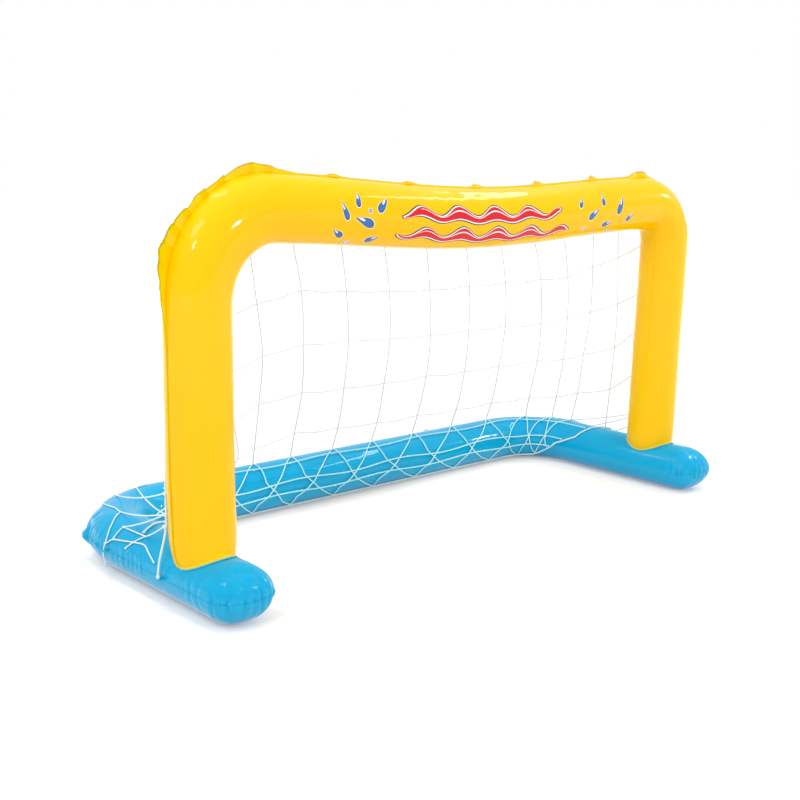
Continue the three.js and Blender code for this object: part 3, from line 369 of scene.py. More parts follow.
def without_valve_holes(points, polygons):
    """Leaves out the faces under each valve's disc that reach its neck."""
    kept = []
    for p in polygons:
        centre = points[p].mean(1)
        clear = np.ones(len(p), bool)
        for spot, axes in VALVES.values():
            local = (centre - spot) @ axes.T
            clear &= (np.hypot(local[:, 0], local[:, 1]) > NECK_REACH) \
                | (np.abs(local[:, 2]) > NECK_DEPTH)
        kept.append(p[clear])
    return kept


def film_sheet(name, points, centres, from_seam, material, slot, node, ring=False):
    """A sheet of film from a grid: it looks away from the centres, is open at the valves and
    has a wall's thickness. Each point keeps its distance from the seam."""
    rows, columns = points.shape[:2]
    middle = np.broadcast_to(centres, points.shape).reshape(-1, 3)
    flat, polygons, kept = points.reshape(-1, 3), [grid_faces(rows, columns)], slice(None)
    if ring:
        flat, polygons, kept = merged(flat, grid_faces(rows, columns, ring_rows=True))
    polygons = facing_out(flat, polygons, middle[kept])
    flat, polygons = walled(flat, without_valve_holes(flat, polygons), FILM)
    marks = np.tile(np.broadcast_to(from_seam, (rows, columns)).reshape(-1)[kept], 2)
    new_piece(name, flat, polygons, material, slot, [node], marks={"from_seam": marks})


# Puckers along each seam: seed, pitch and depth. Slow swells: height, seed and size
BASE_PUCKERS, OUTER_PUCKERS, INNER_PUCKERS = (7, 14.0, 6.2), (11, 17.0, 1.9), (12, 12.0, 2.2)
BASE_SWELL = ((0.55, 3, 120), (0.25, 4, 46))
ARCH_SWELL = ((0.7, 21, 150), (0.28, 22, 52))


def base_sheet(name, hand, material, node):
    """One sheet of the base: from the crest, or the flat of the belly, over a quarter
    ellipse to the seam and out along its lip, carried round the U's closed way."""
    spot, out, weight = base_loop()
    seam = spot + out * BASE_HALF
    step = np.linalg.norm(np.diff(seam, axis=0, append=seam[:1]), axis=-1)
    along = np.concatenate([[0], np.cumsum(step)[:-1]])
    table = pucker_table(*BASE_PUCKERS, step.sum(), along, weight)
    pinch = (CORNER_RADIUS + BASE_HALF) * np.arccos(np.clip(unit(out) @ EAR_WAY, -1, 1))
    ear_place = along[pinch.argmin()]
    beside_ear = [[ear_place - EAR_HALF, 5.0, 4.5, 34, 0.35],
                  [ear_place + EAR_HALF, 6.5, 5.0, 40, -0.5]]
    table = np.concatenate([table, beside_ear])
    ear = EAR_RISE * np.exp(-(pinch / EAR_HALF) ** 4)
    level = CROWN_FOOT if hand > 0 else BELLY_LEVEL
    rise = CROWN_RISE if hand > 0 else BELLY_DEPTH
    full = np.pi / 2 if hand > 0 else np.arcsin(level / rise)
    swing = full * (1 - np.linspace(0, 1, 23) ** 0.8)
    lips = np.array([0.25, 0.45, CLOSED_LIP])
    width = np.concatenate([BASE_HALF * np.cos(swing), BASE_HALF + lips])
    height = np.concatenate([level + hand * rise * np.sin(swing), np.full(3, level)])
    if hand < 0:
        width, height = np.concatenate([[0, 9], width]), np.concatenate([[0, 0], height])
    points = np.concatenate([
        spot[:, None] + out[:, None] * width[:, None],
        np.broadcast_to(height[:, None], (len(spot), len(height), 1))], -1)
    arc = np.concatenate([[0], np.cumsum(np.hypot(np.diff(width), np.diff(height)))])
    away = np.abs(arc[-4] - arc)
    on_lip = np.maximum(width - BASE_HALF, 0) / CLOSED_LIP
    centres = np.concatenate([spot, np.full((len(spot), 1), 50.0)], -1)[:, None]
    normal = unit(points - np.broadcast_to(centres, points.shape))
    dip = puckers(table, *np.broadcast_arrays(along[:, None], away))
    lies_flat = 4 if hand < 0 else 0  # how many columns of the belly rest on the floor
    calm = valve_calm(points) * (np.arange(len(width)) >= lies_flat) * (on_lip == 0)
    from_crest = np.linalg.norm(points[..., :2] - spot[:, None], axis=-1)
    crest_fade = ease(from_crest / 25) if hand > 0 else 1.0
    floor_fade = ease(points[..., 2] / 14) if hand < 0 else 1.0
    swell = swells(points, BASE_SWELL) * crest_fade
    bulge = (swell - dip * valve_calm(points)) * calm * floor_fade
    points = points + normal * bulge[..., None]
    sway = lip_waves(5, along) * (0.05 + 0.3 * weight)
    pull = -0.2 * np.abs(lip_waves(6, along)) * weight
    outward = ear[:, None] * np.exp(-(away / EAR_FADE[0]) ** 1.4)
    outward = outward - 0.9 * dip[:, -4:-3] * (on_lip > 0) + pull[:, None] * on_lip
    points[..., :2] += out[:, None] * outward[..., None]
    points[..., 2] += sway[:, None] * on_lip ** 1.3
    points[..., 2] -= 0.35 * ear[:, None] * np.exp(-away / EAR_FADE[1])
    # The bottom sheet's distance from the seam is shrunk to three tenths, so that its paler colour
    # spreads far down it: stress-whitening by the seam, and further down a painted reflection of
    # the pale floor on the tube's lower half.
    from_seam = np.where(on_lip > 0, -on_lip * LIP, away * (0.3 if hand < 0 else 1))
    film_sheet(name, points, centres, from_seam, material, "blue_film", node, ring=True)


# Arch chamber

def sag_at(x):
    """The crossbar's sag: a squared cosine between the posts' inner seams."""
    span = POST_X - TUBE_HALF
    return np.where(np.abs(x) < span, SAG * np.cos(np.pi * x / (2 * span)) ** 2, 0.0)


def crown_at(offset):
    """The base's height under a post at an offset from its middle line."""
    return CROWN_FOOT + CROWN_RISE * np.sqrt(np.maximum(0, 1 - (offset / BASE_HALF) ** 2))


def arch_stations():
    """Matching places on the outer and inner seams, from the left foot over the top to the
    right foot: straight posts, quarter circles at the corners and a sagging crossbar."""
    outer_x, inner_x = POST_X + TUBE_HALF, POST_X - TUBE_HALF
    inner_top = ARCH_TOP - 2 * TUBE_HALF
    outer, inner, rope = [], [], []

    def add(out_x, out_z, in_x, in_z, rope_share):
        outer.append(np.stack(np.broadcast_arrays(out_x, out_z), -1))
        inner.append(np.stack(np.broadcast_arrays(in_x, in_z), -1))
        rope.append(np.broadcast_to(rope_share, np.shape(outer[-1])[:1]))

    def post(hand, radii):
        t = np.linspace(0, 1, POST_STATIONS + 1)[:-1]
        add(hand * outer_x + 0 * t, mix(KNEE, ARCH_TOP - radii[0], t),
            hand * inner_x + 0 * t, mix(KNEE, inner_top - radii[1], t), 0.0)

    def bend(hand, radii, steps):
        t = np.linspace(0, 1, steps)
        across, down = 1 - np.cos(t * np.pi / 2), 1 - np.sin(t * np.pi / 2)
        add(hand * (outer_x - radii[0] * across), ARCH_TOP - radii[0] * down,
            hand * (inner_x - radii[1] * across), inner_top - radii[1] * down,
            np.clip((t - 0.45) / 0.35, 0, 1))

    post(-1, LEFT_RADII)
    bend(-1, LEFT_RADII, LEFT_BEND)
    t = np.linspace(0, 1, BAR_STATIONS)[1:-1]
    add(mix(*BAR_OUTER, t), ARCH_TOP + 0 * t, mix(*BAR_INNER, t), inner_top + 0 * t, 1.0)
    left = len(outer)
    bend(1, RIGHT_RADII, RIGHT_BEND)
    post(1, RIGHT_RADII)
    for k in (left, left + 1):
        outer[k], inner[k], rope[k] = outer[k][::-1], inner[k][::-1], rope[k][::-1]
    outer, inner = np.concatenate(outer), np.concatenate(inner)
    outer[:, 1] -= sag_at(outer[:, 0])
    inner[:, 1] -= sag_at(inner[:, 0])
    return outer, inner, np.concatenate(rope)


OUTER, INNER, ROPE_EASE = arch_stations()


def arch_skin(place, degrees, lift):
    """A place on the arch's back: an ellipse between the two seams at a station, from the
    outer seam at 0 to the inner one at 180."""
    place, degrees, lift = np.broadcast_arrays(
        np.asarray(place, float), np.asarray(degrees, float), np.asarray(lift, float))
    at = np.arange(len(OUTER))
    out, inn = (np.stack([np.interp(place, at, seam[:, k]) for k in range(2)], -1)
                for seam in (OUTER, INNER))
    middle, reach = (out + inn) / 2, (out - inn) / 2
    turn = np.radians(degrees)
    grown = 1 + lift / np.linalg.norm(reach, axis=-1)
    flat = middle + reach * (grown * np.cos(turn))[..., None]
    depth = POST_PLANE + (TUBE_DEPTH + lift) * np.sin(turn)
    return np.stack([flat[..., 0], depth, flat[..., 1]], -1)


def bar_station(x):
    """The station whose outer seam lies at a place along the crossbar."""
    over = slice(70, len(OUTER) - 70)
    return np.interp(x, OUTER[over, 0], np.arange(len(OUTER))[over])


PEAK_PLACE, PEAK_RISE, PLAIN_FLANGE = 524, 10.5, 2.4


def flange(along):
    """The outer seam's flange: its width and its sway out of the seam's plane by the way
    along. Round the left corner it is gathered in folds that each grow and swing to the
    front, then start again further back; a low swell stands under each tab."""
    share = (along - along[POST_STATIONS - 1]) / (LEFT_RADII[0] * np.pi / 2)
    gather = np.interp(share, *zip(*RUFFLE))
    fold = np.clip(np.searchsorted(FOLDS, share) - 1, 0, len(FOLDS) - 2)
    low, high = np.take(FOLDS, fold), np.take(FOLDS, fold + 1)
    swing = np.clip((share - low) / (high - low), 0, 1)
    loose = np.clip((gather - 5) / 12, 0, 1)
    crumple = sum(tall * np.sin(often * share + start)
                  for tall, often, start in ((1.5, 37, 0), (1.1, 59, 2), (0.5, 113, 1)))
    gather = gather + 0.55 * crumple * loose
    sway = (5.0 - 12.5 * swing ** 1.3 + 0.9 * np.roll(crumple, 5)) * loose
    on_bar = (OUTER[:, 1] > 650) & (np.abs(OUTER[:, 0]) < 600) & (share > 1.1)
    x = OUTER[:, 0]
    tabs = np.exp(-((x - TAB_PITCH * np.round(x / TAB_PITCH)) / 15) ** 2) * 3.4
    swell = tabs + PEAK_RISE * np.exp(-((x - PEAK_PLACE) / 26) ** 2)
    width = np.where(~on_bar & (share > 1.3), PLAIN_FLANGE, gather + on_bar * swell)
    return width, sway + on_bar * 2.6 * np.sin(x / 15.0) * swell / 8


LIP_GAP, INNER_LIP, LIP_ROWS = 0.6, 0.35, 5


def arch_grid(hand):
    """One sheet of the arch as a grid: lip, half an ellipse and lip across, and the posts,
    corners and crossbar along. Also each column's swing, and the distance from the seams."""
    swing = np.radians(90 * (1 - np.cos(np.linspace(0, np.pi, 45))))
    lips, none = np.array([1.0, 0.82, 0.6, 0.4, 0.2]), np.zeros(LIP_ROWS)
    middle, reach = (OUTER + INNER) / 2, (OUTER - INNER) / 2
    way = unit(reach)
    along, inner_along = distances(OUTER), distances(INNER)
    lip, sway = flange(along)
    gathered_share = np.clip((lip - 5) / 14, 0, 1)
    weight = 0.08 + 0.75 * gathered_share
    outer_z = ARCH_TOP - RIGHT_RADII[0]
    inner_z = ARCH_TOP - 2 * TUBE_HALF - RIGHT_RADII[1]
    in_bend = (OUTER[:, 0] > BAR_OUTER[1]) * (OUTER[:, 1] > outer_z)
    weight = np.maximum(weight, 0.4 * in_bend)
    section = middle[:, None] + reach[:, None] * np.cos(swing)[:, None]
    depth = LIP_GAP + (TUBE_DEPTH - LIP_GAP) * np.sin(swing)
    outer_lip = OUTER[:, None] + way[:, None] * (lip[:, None] * lips)[..., None]
    inner_lip = INNER[:, None] - way[:, None] * (INNER_LIP * lips[::-1])[:, None]
    flat = np.concatenate([outer_lip, section, inner_lip], 1)
    rows, columns = flat.shape[:2]
    at_lip = none + LIP_GAP
    y = np.broadcast_to(np.concatenate([at_lip, depth, at_lip]), (rows, columns))
    points = np.stack([flat[..., 0], POST_PLANE + hand * y, flat[..., 1]], -1)
    arc = np.concatenate([[0], np.cumsum(np.hypot(
        TUBE_HALF * np.diff(np.cos(swing)), TUBE_DEPTH * np.diff(np.sin(swing))))])
    away_out = np.concatenate([none, arc, none + arc[-1]])
    away_in = np.concatenate([none + arc[-1], arc[-1] - arc, none])
    film = np.concatenate([none, np.ones(len(arc)), none])
    centre = np.concatenate([middle[:, :1], np.full((rows, 1), POST_PLANE), middle[:, 1:]], -1)
    normal = unit(points - centre[:, None])
    outer_table = pucker_table(*OUTER_PUCKERS, along[-1], along, weight)
    from_bend = np.hypot(INNER[:, 0] - BAR_INNER[1], INNER[:, 1] - inner_z)
    inner_weight = 0.04 + 0.5 * ease(1 - from_bend / 60)
    inner_table = pucker_table(*INNER_PUCKERS, inner_along[-1], inner_along, inner_weight)
    dip = puckers(outer_table, *np.broadcast_arrays(along[:, None], away_out)) \
        + puckers(inner_table, *np.broadcast_arrays(inner_along[:, None], away_in))
    calm = valve_calm(points) * film * ease(np.minimum(away_out, away_in) / 6 + 0.25)
    points = points + normal * ((swells(points, ARCH_SWELL) - dip) * calm)[..., None]
    share = np.concatenate([lips, np.zeros(columns - LIP_ROWS)])
    points[..., 1] += sway[:, None] * share ** 1.2
    points[..., 1] += (lip_waves(13, along) * (0.15 + 0.9 * gathered_share))[:, None] * share
    from_seam = np.minimum(away_out, away_in) \
        - LIP * np.concatenate([lips, 0 * arc, 0.3 * lips[::-1]])
    return points, centre, from_seam, swing


def foot_rows(points, end, hand):
    """The rows from a knee down to the foot. The welded end is an ellipse on the base's
    crown, narrower across the tube and longer along it than the post: the wall keeps the
    post's width for most of the way, then tucks in by a quarter circle."""
    side = -1 if end == 0 else 1
    out, ahead, half, depth = WELD[side]
    knee = points[end]
    offset = (knee[:, 0] - side * POST_X) / TUBE_HALF
    low_x = side * (POST_X + out) + np.clip(offset * half, -half - 1.2, half + 1.2)
    low_y = POST_PLANE + ahead + (knee[:, 1] - POST_PLANE) * depth / TUBE_DEPTH
    low = np.stack([low_x, low_y, crown_at(low_x - side * POST_X) + 2.6], -1)
    share = 1 - (1 - np.linspace(0, 1, 48)[1:, None]) ** 1.6
    tuck = 1 - np.sqrt(1 - np.clip((share - 0.62) / 0.38, 0, 1) ** 2)
    tuck = np.maximum(tuck, 0.12 * share)
    sway = 0.35 * ease(share) + 0.65 * tuck
    rows = np.stack([mix(knee[:, 0], low[:, 0], tuck), mix(knee[:, 1], low[:, 1], sway),
                     mix(knee[:, 2], low[:, 2], share)], -1)
    turn = np.arctan2(hand * (rows[..., 1] - POST_PLANE), rows[..., 0] - side * POST_X)
    pleat = np.sin(turn * 31 + 2.2 * np.sin(3 * turn)) * np.exp(-((1 - share) / 0.09) ** 1.2)
    away = unit(np.stack([rows[..., 0] - side * POST_X, rows[..., 1] - POST_PLANE, 0 * turn], -1))
    rows = rows + away * (0.45 * pleat)[..., None]
    spine = np.stack([np.full(len(rows), side * POST_X), np.full(len(rows), POST_PLANE),
                      rows[..., 2].mean(1)], -1)
    return rows, spine


def arch_sheet(name, hand, material, node):
    """One sheet of the arch, front for hand -1 and back for hand 1, with its feet."""
    points, centre, from_seam, _ = arch_grid(hand)
    left, left_spine = foot_rows(points, 0, hand)
    right, right_spine = foot_rows(points, -1, hand)
    points = np.concatenate([left[::-1], points, right])
    centre = np.concatenate([left_spine[::-1], centre, right_spine])
    film_sheet(name, points, centre[:, None], from_seam, material, "yellow_film", node)


# Cords

def smooth_route(points, step, closed=False):
    """A curve through the points: cubic pieces whose slopes are the chords between
    neighbours, cut at equal steps."""
    p = np.asarray(points, float)
    if closed:
        p = np.concatenate([p[-2:], p, p[:3]])
    gap = np.maximum(np.linalg.norm(np.diff(p, axis=0), axis=-1), 1e-6)
    t = np.concatenate([[0], np.cumsum(gap)])
    slope = np.gradient(p, t, axis=0)
    start, stop = (t[2], t[-3]) if closed else (t[0], t[-1])
    count = max(int(np.ceil((stop - start) / step)), 2)
    s = np.linspace(start, stop, count + 1)
    if closed:
        s = s[:-1]
    k = np.clip(np.searchsorted(t, s, side="right") - 1, 0, len(t) - 2)
    u = ((s - t[k]) / gap[k])[:, None]
    h = gap[k][:, None]
    return (2 * u**3 - 3 * u**2 + 1) * p[k] + (u**3 - 2 * u**2 + u) * h * slope[k] \
        + (3 * u**2 - 2 * u**3) * p[k + 1] + (u**3 - u**2) * h * slope[k + 1]


def cord_shape(route, reference, radius, sides, strands=0, pitch=1.0, closed=False):
    """A round cord carried along a route, with a lobe for each laid strand: the radius
    follows a cosine of the turn less the way along over the pitch. Ends close in a cone."""
    route = np.asarray(route, float)
    count = len(route)
    ahead = np.roll(route, -1, 0) - np.roll(route, 1, 0)
    if not closed:
        ahead[0], ahead[-1] = route[1] - route[0], route[-1] - route[-2]
    tangent = unit(ahead)
    side = unit(np.cross(tangent, np.broadcast_to(reference, route.shape)))
    up = np.cross(side, tangent)
    along = distances(route)
    turn = 2 * np.pi * np.arange(sides) / sides
    lobes = 1.0
    if strands:
        lobes = 0.9 + 0.1 * np.cos(strands * (turn - 2 * np.pi * along[:, None] / pitch))
    ring = radius * (lobes * np.ones((count, sides)))[..., None]
    points = route[:, None] + ring * (
        np.cos(turn)[:, None] * side[:, None] + np.sin(turn)[:, None] * up[:, None])
    faces = grid_faces(count, sides, ring_rows=closed, ring_columns=True)
    wrap = np.append(along, along[-1] + np.linalg.norm(route[0] - route[-1]))
    i, j = np.meshgrid(np.arange(count if closed else count - 1), np.arange(sides), indexing="ij")
    uv = np.stack([np.stack([(j + b) / sides, wrap[i + a] * MM], -1)
                   for a, b in ((0, 0), (1, 0), (1, 1), (0, 1))], -2).reshape(-1, 2)
    points = points.reshape(-1, 3)
    if closed:
        return points, [faces], uv
    tips = np.stack([route[0] - tangent[0] * radius * 0.5, route[-1] + tangent[-1] * radius * 0.5])
    k = np.arange(sides)
    first = np.stack([np.full(sides, count * sides), k, (k + 1) % sides], -1)
    last = np.stack([np.full(sides, count * sides + 1),
                     (count - 1) * sides + (k + 1) % sides, (count - 1) * sides + k], -1)
    caps = np.zeros((2 * sides * 3, 2)) + np.array([0.5, 0.0])
    return np.concatenate([points, tips]), [faces, np.concatenate([first, last])], \
        np.concatenate([uv, caps])


KNOT_SIDES, KNOT_BANDS, KNOT_TALL = 8, 4, 1.15


def knot_shape(places, size, across, seed):
    """A small lumpy knot at each place: a ball of eight by five faces, flattened, with a
    seeded turn and two ridges round it."""
    rng = np.random.default_rng(seed)
    turns, up = np.meshgrid(np.arange(KNOT_SIDES) / KNOT_SIDES * 2 * np.pi,
                            np.linspace(0, np.pi, KNOT_BANDS + 2)[1:-1], indexing="ij")
    bump = 1 + 0.16 * np.cos(2 * turns + 3 * up)
    ball = np.stack([np.sin(up) * np.cos(turns) * bump, np.sin(up) * np.sin(turns) * bump,
                     np.cos(up) * KNOT_TALL], -1).reshape(-1, 3)
    top = np.full(KNOT_SIDES, len(ball))
    ball = np.concatenate([ball, [[0, 0, KNOT_TALL], [0, 0, -KNOT_TALL]]])
    faces = grid_faces(KNOT_SIDES, KNOT_BANDS, ring_rows=True)
    first = np.arange(KNOT_SIDES) * KNOT_BANDS
    after, last = np.roll(first, -1), KNOT_BANDS - 1
    caps = np.concatenate([np.stack([top, first, after], -1),
                           np.stack([top + 1, after + last, first + last], -1)])
    turn = rng.uniform(0, 2 * np.pi, len(places))
    cos, sin = np.cos(turn)[:, None], np.sin(turn)[:, None]
    x, y = ball[:, 0] * cos - ball[:, 1] * sin, ball[:, 0] * sin + ball[:, 1] * cos
    z = ball[:, 2] + 0 * cos
    swap = np.stack([x, z, y], -1) if across else np.stack([x, y, z], -1)
    points = (places[:, None] + size * swap).reshape(-1, 3)
    shift = (np.arange(len(places)) * len(ball))[:, None, None]
    polygons = [(faces[None] + shift).reshape(-1, 4), (caps[None] + shift).reshape(-1, 3)]
    if across:
        polygons = [p[:, ::-1] for p in polygons]
    uv = np.zeros((sum(p.size for p in polygons), 2)) + 0.25
    return points, polygons, uv


def gathered(shapes):
    """Several shapes as one mesh: points and faces in a row, quads before triangles."""
    points, quads, triangles, quad_uv, triangle_uv, shift = [], [], [], [], [], 0
    for place, polygons, uv in shapes:
        points.append(place)
        used = 0
        for p in polygons:
            own = uv[used:used + p.size]
            used += p.size
            (quads if p.shape[1] == 4 else triangles).append(p + shift)
            (quad_uv if p.shape[1] == 4 else triangle_uv).append(own)
        shift += len(place)
    polygons = [np.concatenate(quads)] + ([np.concatenate(triangles)] if triangles else [])
    return np.concatenate(points), polygons, np.concatenate(quad_uv + triangle_uv)


def cord_piece(name, shapes, material, nodes):
    """One object of several cords and knots."""
    points, polygons, uv = gathered(shapes)
    new_piece(name, points, polygons, material, "net_cord", nodes, crease=60, uv=uv)


# Ropes and net

def post_skin(hand, height, degrees, lift):
    """A place on a post's back: an ellipse that slims over the last stretch to the foot."""
    share = np.clip((height - FOOT_LEVEL) / 150, 0, 1)
    width = mix(FOOT_HALF, TUBE_HALF, share) + lift
    depth = mix(FOOT_DEPTH, TUBE_DEPTH, share) + lift
    turn = np.radians(degrees)
    return np.stack(np.broadcast_arrays(
        hand * (POST_X + width * np.cos(turn)), POST_PLANE + depth * np.sin(turn), height), -1)


def post_rope_turn(hand, height):
    """The rope's angle round a post: it falls evenly from the shoulder to low down."""
    share = (height - ROPE_LEAVE) / (SHOULDER[hand] - ROPE_LEAVE)
    return mix(ROPE_LOW_TURN, ROPE_TURN, share)


def rope_tail(hand):
    """The rope down one post and away to the eyelet beside its foot."""
    share = np.linspace(0, 1, 60)
    height = mix(SHOULDER[hand], ROPE_LEAVE, share)
    down = post_skin(hand, height, post_rope_turn(hand, height), 2.7 + 1.9 * share)
    end = np.array([[hand * 712.4, -118.0, 62.0], [hand * 712.75, -118.0, 54.6]])
    return np.concatenate([down, end])


def edge_rope_route():
    """The net's edge rope: up the left post, along the crossbar's back and down the right."""
    stops = np.arange(POST_STATIONS, len(OUTER) - POST_STATIONS)
    turn = mix(ROPE_TURN, BAR_ROPE_TURN, ROPE_EASE[stops])
    bar = arch_skin(stops, turn, 2 + mix(0.7, 2.6, ROPE_EASE[stops]))
    return np.concatenate([rope_tail(-1)[::-1], bar[2:-2:3], rope_tail(1)])


def laid(places, lift, step=5.0):
    """A route on the base's skin through places given by distance along and angle."""
    places = np.asarray(places, float)
    size = np.abs(np.diff(places, axis=0)) * [1.0, 1.05]
    count = np.maximum(np.ceil(np.hypot(size[:, 0], size[:, 1]) / step).astype(int), 1)
    pieces = [mix(a, b, np.linspace(0, 1, n, endpoint=False)[:, None])
              for a, b, n in zip(places[:-1], places[1:], count)]
    route = np.concatenate([*pieces, places[-1:]])
    for _ in range(2):
        route[1:-1] = (route[:-2] + 2 * route[1:-1] + route[2:]) / 4
    return base_skin(route[:, 0], route[:, 1], lift), base_normal(route[:, 0], route[:, 1])


def side_place(share):
    """A distance along the base, as a share of the way from the rear corner to the post."""
    return mix(REAR_HALF, POST_PLACE, share)


# The foot rope's climb over a rear corner: the way along the base and the angle on its skin
RISE = [(side_place(s), a) for s, a in (
    (0.263, -42), (0.432, -8), (0.527, 12), (0.605, 32), (0.668, 85), (0.702, 117))]
RISE_ALONG, RISE_TURN = zip(*RISE)

# Where the columns land on the base, as shares of the way from its middle to a post
COLUMN_FEET = dict(enumerate(
    (-0.402, -0.243, -0.056, 0.13, 0.336, 0.543, 0.744, 0.93, 1.035, 1.12, 1.29), 1))
LEFT_FEET = {"outer": -0.73, "inner": -0.56}

# Shares of the fall at which the rows meet the posts, and how far the two short columns
# stand towards the left one
LEFT_EDGE = [0.24, 0.43, 0.62, 0.8, 0.94]
RIGHT_EDGE = [0.1, 0.19, 0.38, 0.53, 0.7]
LEFT_REACH = {"inner": [0.62, 0.46, 0.36, 0.3, 0.25], "outer": [1, 0.92, 0.73, 0.61, 0.52]}
ROW_RISE = {1: -0.032, 2: 0.008, 9: 0.01, 10: 0.04, 11: 0.08}

# The foot net's slanting cords: shares of the way across and the angles they pass there
LEAN_BACK = ([0.26, 0.5, 0.66, 0.94], [62, 32, 14, -20])
LEAN_ON = ([-0.1, -0.06, 0.16, 0.58], [55, 26, 1, -25])
CREST_TURN, FOOT_LIFT, NET_LIFT = 93.0, 6.7, 2.8
EDGE_STEP = np.degrees(3.9 / TUBE_DEPTH)
HEAD_STEP = np.degrees(3.9 / TUBE_HALF)
CORD, FOOT_CORD = 1.4, 1.45
COLUMN_PITCH, MIDDLE_COLUMN, COLUMNS, ROWS = 107.5, 6, range(1, 12), range(5)
FOOT_NET_END, LEAN_END, ROPE_LOW = 740, 38, -44.0
BELLY, BOW = 0.082, 0.06


def column_head(k, degrees):
    """A place where a column of the net lies on the crossbar's back."""
    return arch_skin(bar_station((k - MIDDLE_COLUMN) * COLUMN_PITCH), degrees, NET_LIFT)


def net_foot(share):
    """A place where a cord lands on the base's crest."""
    return base_skin(share * POST_X, CREST_TURN, FOOT_LIFT)


def leave_angle(k):
    """The angle at which a column falls away from the crossbar's back."""
    head, foot = column_head(k, 90.0), net_foot(COLUMN_FEET[k])
    return np.degrees(np.arctan2(head[2] - foot[2], (foot[1] - head[1]) * (1 - 4 * BELLY))) + 3


def net_place(k, share):
    """A place on a hanging column: straight from head to foot, with a bow to one side and
    a slack belly, which is a parabola."""
    head, foot = column_head(k, leave_angle(k)), net_foot(COLUMN_FEET[k])
    place = mix(head, foot, share)
    place[0] += BOW * np.sin(np.pi * share) * (foot[0] - head[0])
    place[1] -= BELLY * (foot[1] - head[1]) * 4 * share * (1 - share)
    return place


def row_share(j):
    """The share of the fall at which a row crosses the columns."""
    return 0.115 + 0.198 * j


def net_edge(hand, share):
    """The net's edge beside the rope on a post's back, at a share of the fall."""
    height = mix(column_head(1, leave_angle(1))[2], FOOT_LEVEL, share)
    if height <= SHOULDER[hand]:
        return post_skin(hand, height, post_rope_turn(hand, height) + EDGE_STEP, NET_LIFT)
    first = POST_STATIONS if hand < 0 else len(OUTER) - POST_STATIONS - RIGHT_BEND
    stops = first + np.arange(LEFT_BEND if hand < 0 else RIGHT_BEND)
    turn = mix(ROPE_TURN, BAR_ROPE_TURN, ROPE_EASE[stops])
    return at_height(arch_skin(stops, turn + EDGE_STEP, NET_LIFT), height)


def left_place(k, j):
    """A knot of one of the two short columns at the left end."""
    return mix(net_place(1, row_share(j)), net_edge(-1, LEFT_EDGE[j]), LEFT_REACH[k][j])


def hanging_net(material):
    """The net behind the arch: cords down from the crossbar's back and rows from post to
    post, with a little slack between the knots."""
    rng = np.random.default_rng(31)
    shapes, ties = [], []

    def eased(place):
        return place + rng.normal(0, 1.0, 3) * [2.2, 1.6, 2.4]

    def sagging(points):
        """Between two knots a cord hangs a little: a parabola a fiftieth of the span deep."""
        out = [points[0]]
        for a, b in zip(points[:-1], points[1:]):
            drop = np.array([0, 0, -0.022 * np.linalg.norm(b - a)])
            out += [mix(a, b, 0.5) + drop + rng.normal(0, 0.6, 3), b]
        return out

    def cord(places, reference=(1.0, 0.05, 0)):
        shapes.append(cord_shape(smooth_route(places, 6.0), reference, CORD, 7))

    knots = {}
    for k in COLUMNS:
        turns = mix(BAR_ROPE_TURN + HEAD_STEP, leave_angle(k), np.linspace(0, 1, 5))
        wrap = [column_head(k, turn) for turn in turns]
        knots[k] = [eased(net_place(k, row_share(j) - ROW_RISE.get(k, 0))) for j in ROWS]
        cord([*wrap, *knots[k], net_foot(COLUMN_FEET[k])])
        ties.append(wrap[0])
    for name, first in (("outer", 1), ("inner", 0)):
        rows = [eased(left_place(name, j)) for j in ROWS[first:]]
        knots[name] = [None] * first + rows
        head = [net_edge(-1, 0.31)] * first
        cord([*head, *rows, net_foot(LEFT_FEET[name])])
    for j in ROWS:
        row = [knots[k][j] for k in ("outer", "inner", *COLUMNS) if knots[k][j] is not None]
        row = [net_edge(-1, LEFT_EDGE[j]), *row, net_edge(1, RIGHT_EDGE[j])]
        cord(sagging(row), (0, 0.1, 1.0))
        ties += row
    shapes.append(knot_shape(np.array(ties), 2.2, True, 5))
    cord_piece("hanging_net", shapes, material,
               ["net_rear_panel", "net_left_panel", "net_right_panel"])


def foot_net(material):
    """The net's low part, laid on the inside of the base: rows along it and cords that
    split from each column's foot and cross down to the foot rope."""
    rng = np.random.default_rng(41)
    feet = sorted(s * POST_X for s in [*LEFT_FEET.values(), *COLUMN_FEET.values()])
    shapes, knots = [], []

    def strand(places, lift):
        route, normal = laid(places, lift)
        shapes.append(cord_shape(route, normal, FOOT_CORD, 7))

    for degrees, wave, left in ((66.0, 3.5, 505), (18.0, 4.0, 590), (-6.0, 3.5, 600)):
        along = np.linspace(-left, np.interp(degrees, RISE_TURN, RISE_ALONG) - 12, 41)
        at_corner = np.exp(-np.maximum(np.abs(along) - 560, 0) / 60)
        turn = degrees + wave * np.sin(along / 47.0 + degrees) * at_corner
        strand(np.stack([along, turn], -1), 2.9 + 0.02 * abs(degrees))
        knots.append(base_skin(along[1::3], turn[1::3], 3.2))
    for n, foot in enumerate(feet):
        for m in (n - 1, n + 1):
            if 0 <= m < len(feet) and max(abs(feet[m]), abs(foot)) < FOOT_NET_END:
                shares, turns = LEAN_BACK if m < n else LEAN_ON
                end = feet[m] - LEAN_END
                across = mix(foot, end, np.array(shares)) + rng.uniform(-5, 5, len(shares))
                last = ROPE_LOW if abs(end) < RISE_ALONG[0] \
                    else np.interp(abs(end), RISE_ALONG, RISE_TURN) + 3
                least = mix(last, CREST_TURN, 1 - np.array([0.25, 0.5, 0.75, 0.97]))
                strand([[foot, CREST_TURN], *zip(across, np.maximum(turns, least)), [end, last]],
                       2.7)
    knots.append(base_skin(np.array(feet), CREST_TURN, 5.2))
    shapes.append(knot_shape(np.concatenate(knots), 2.1, False, 6))
    cord_piece("foot_net", shapes, material, ["net_foot_skirt"])


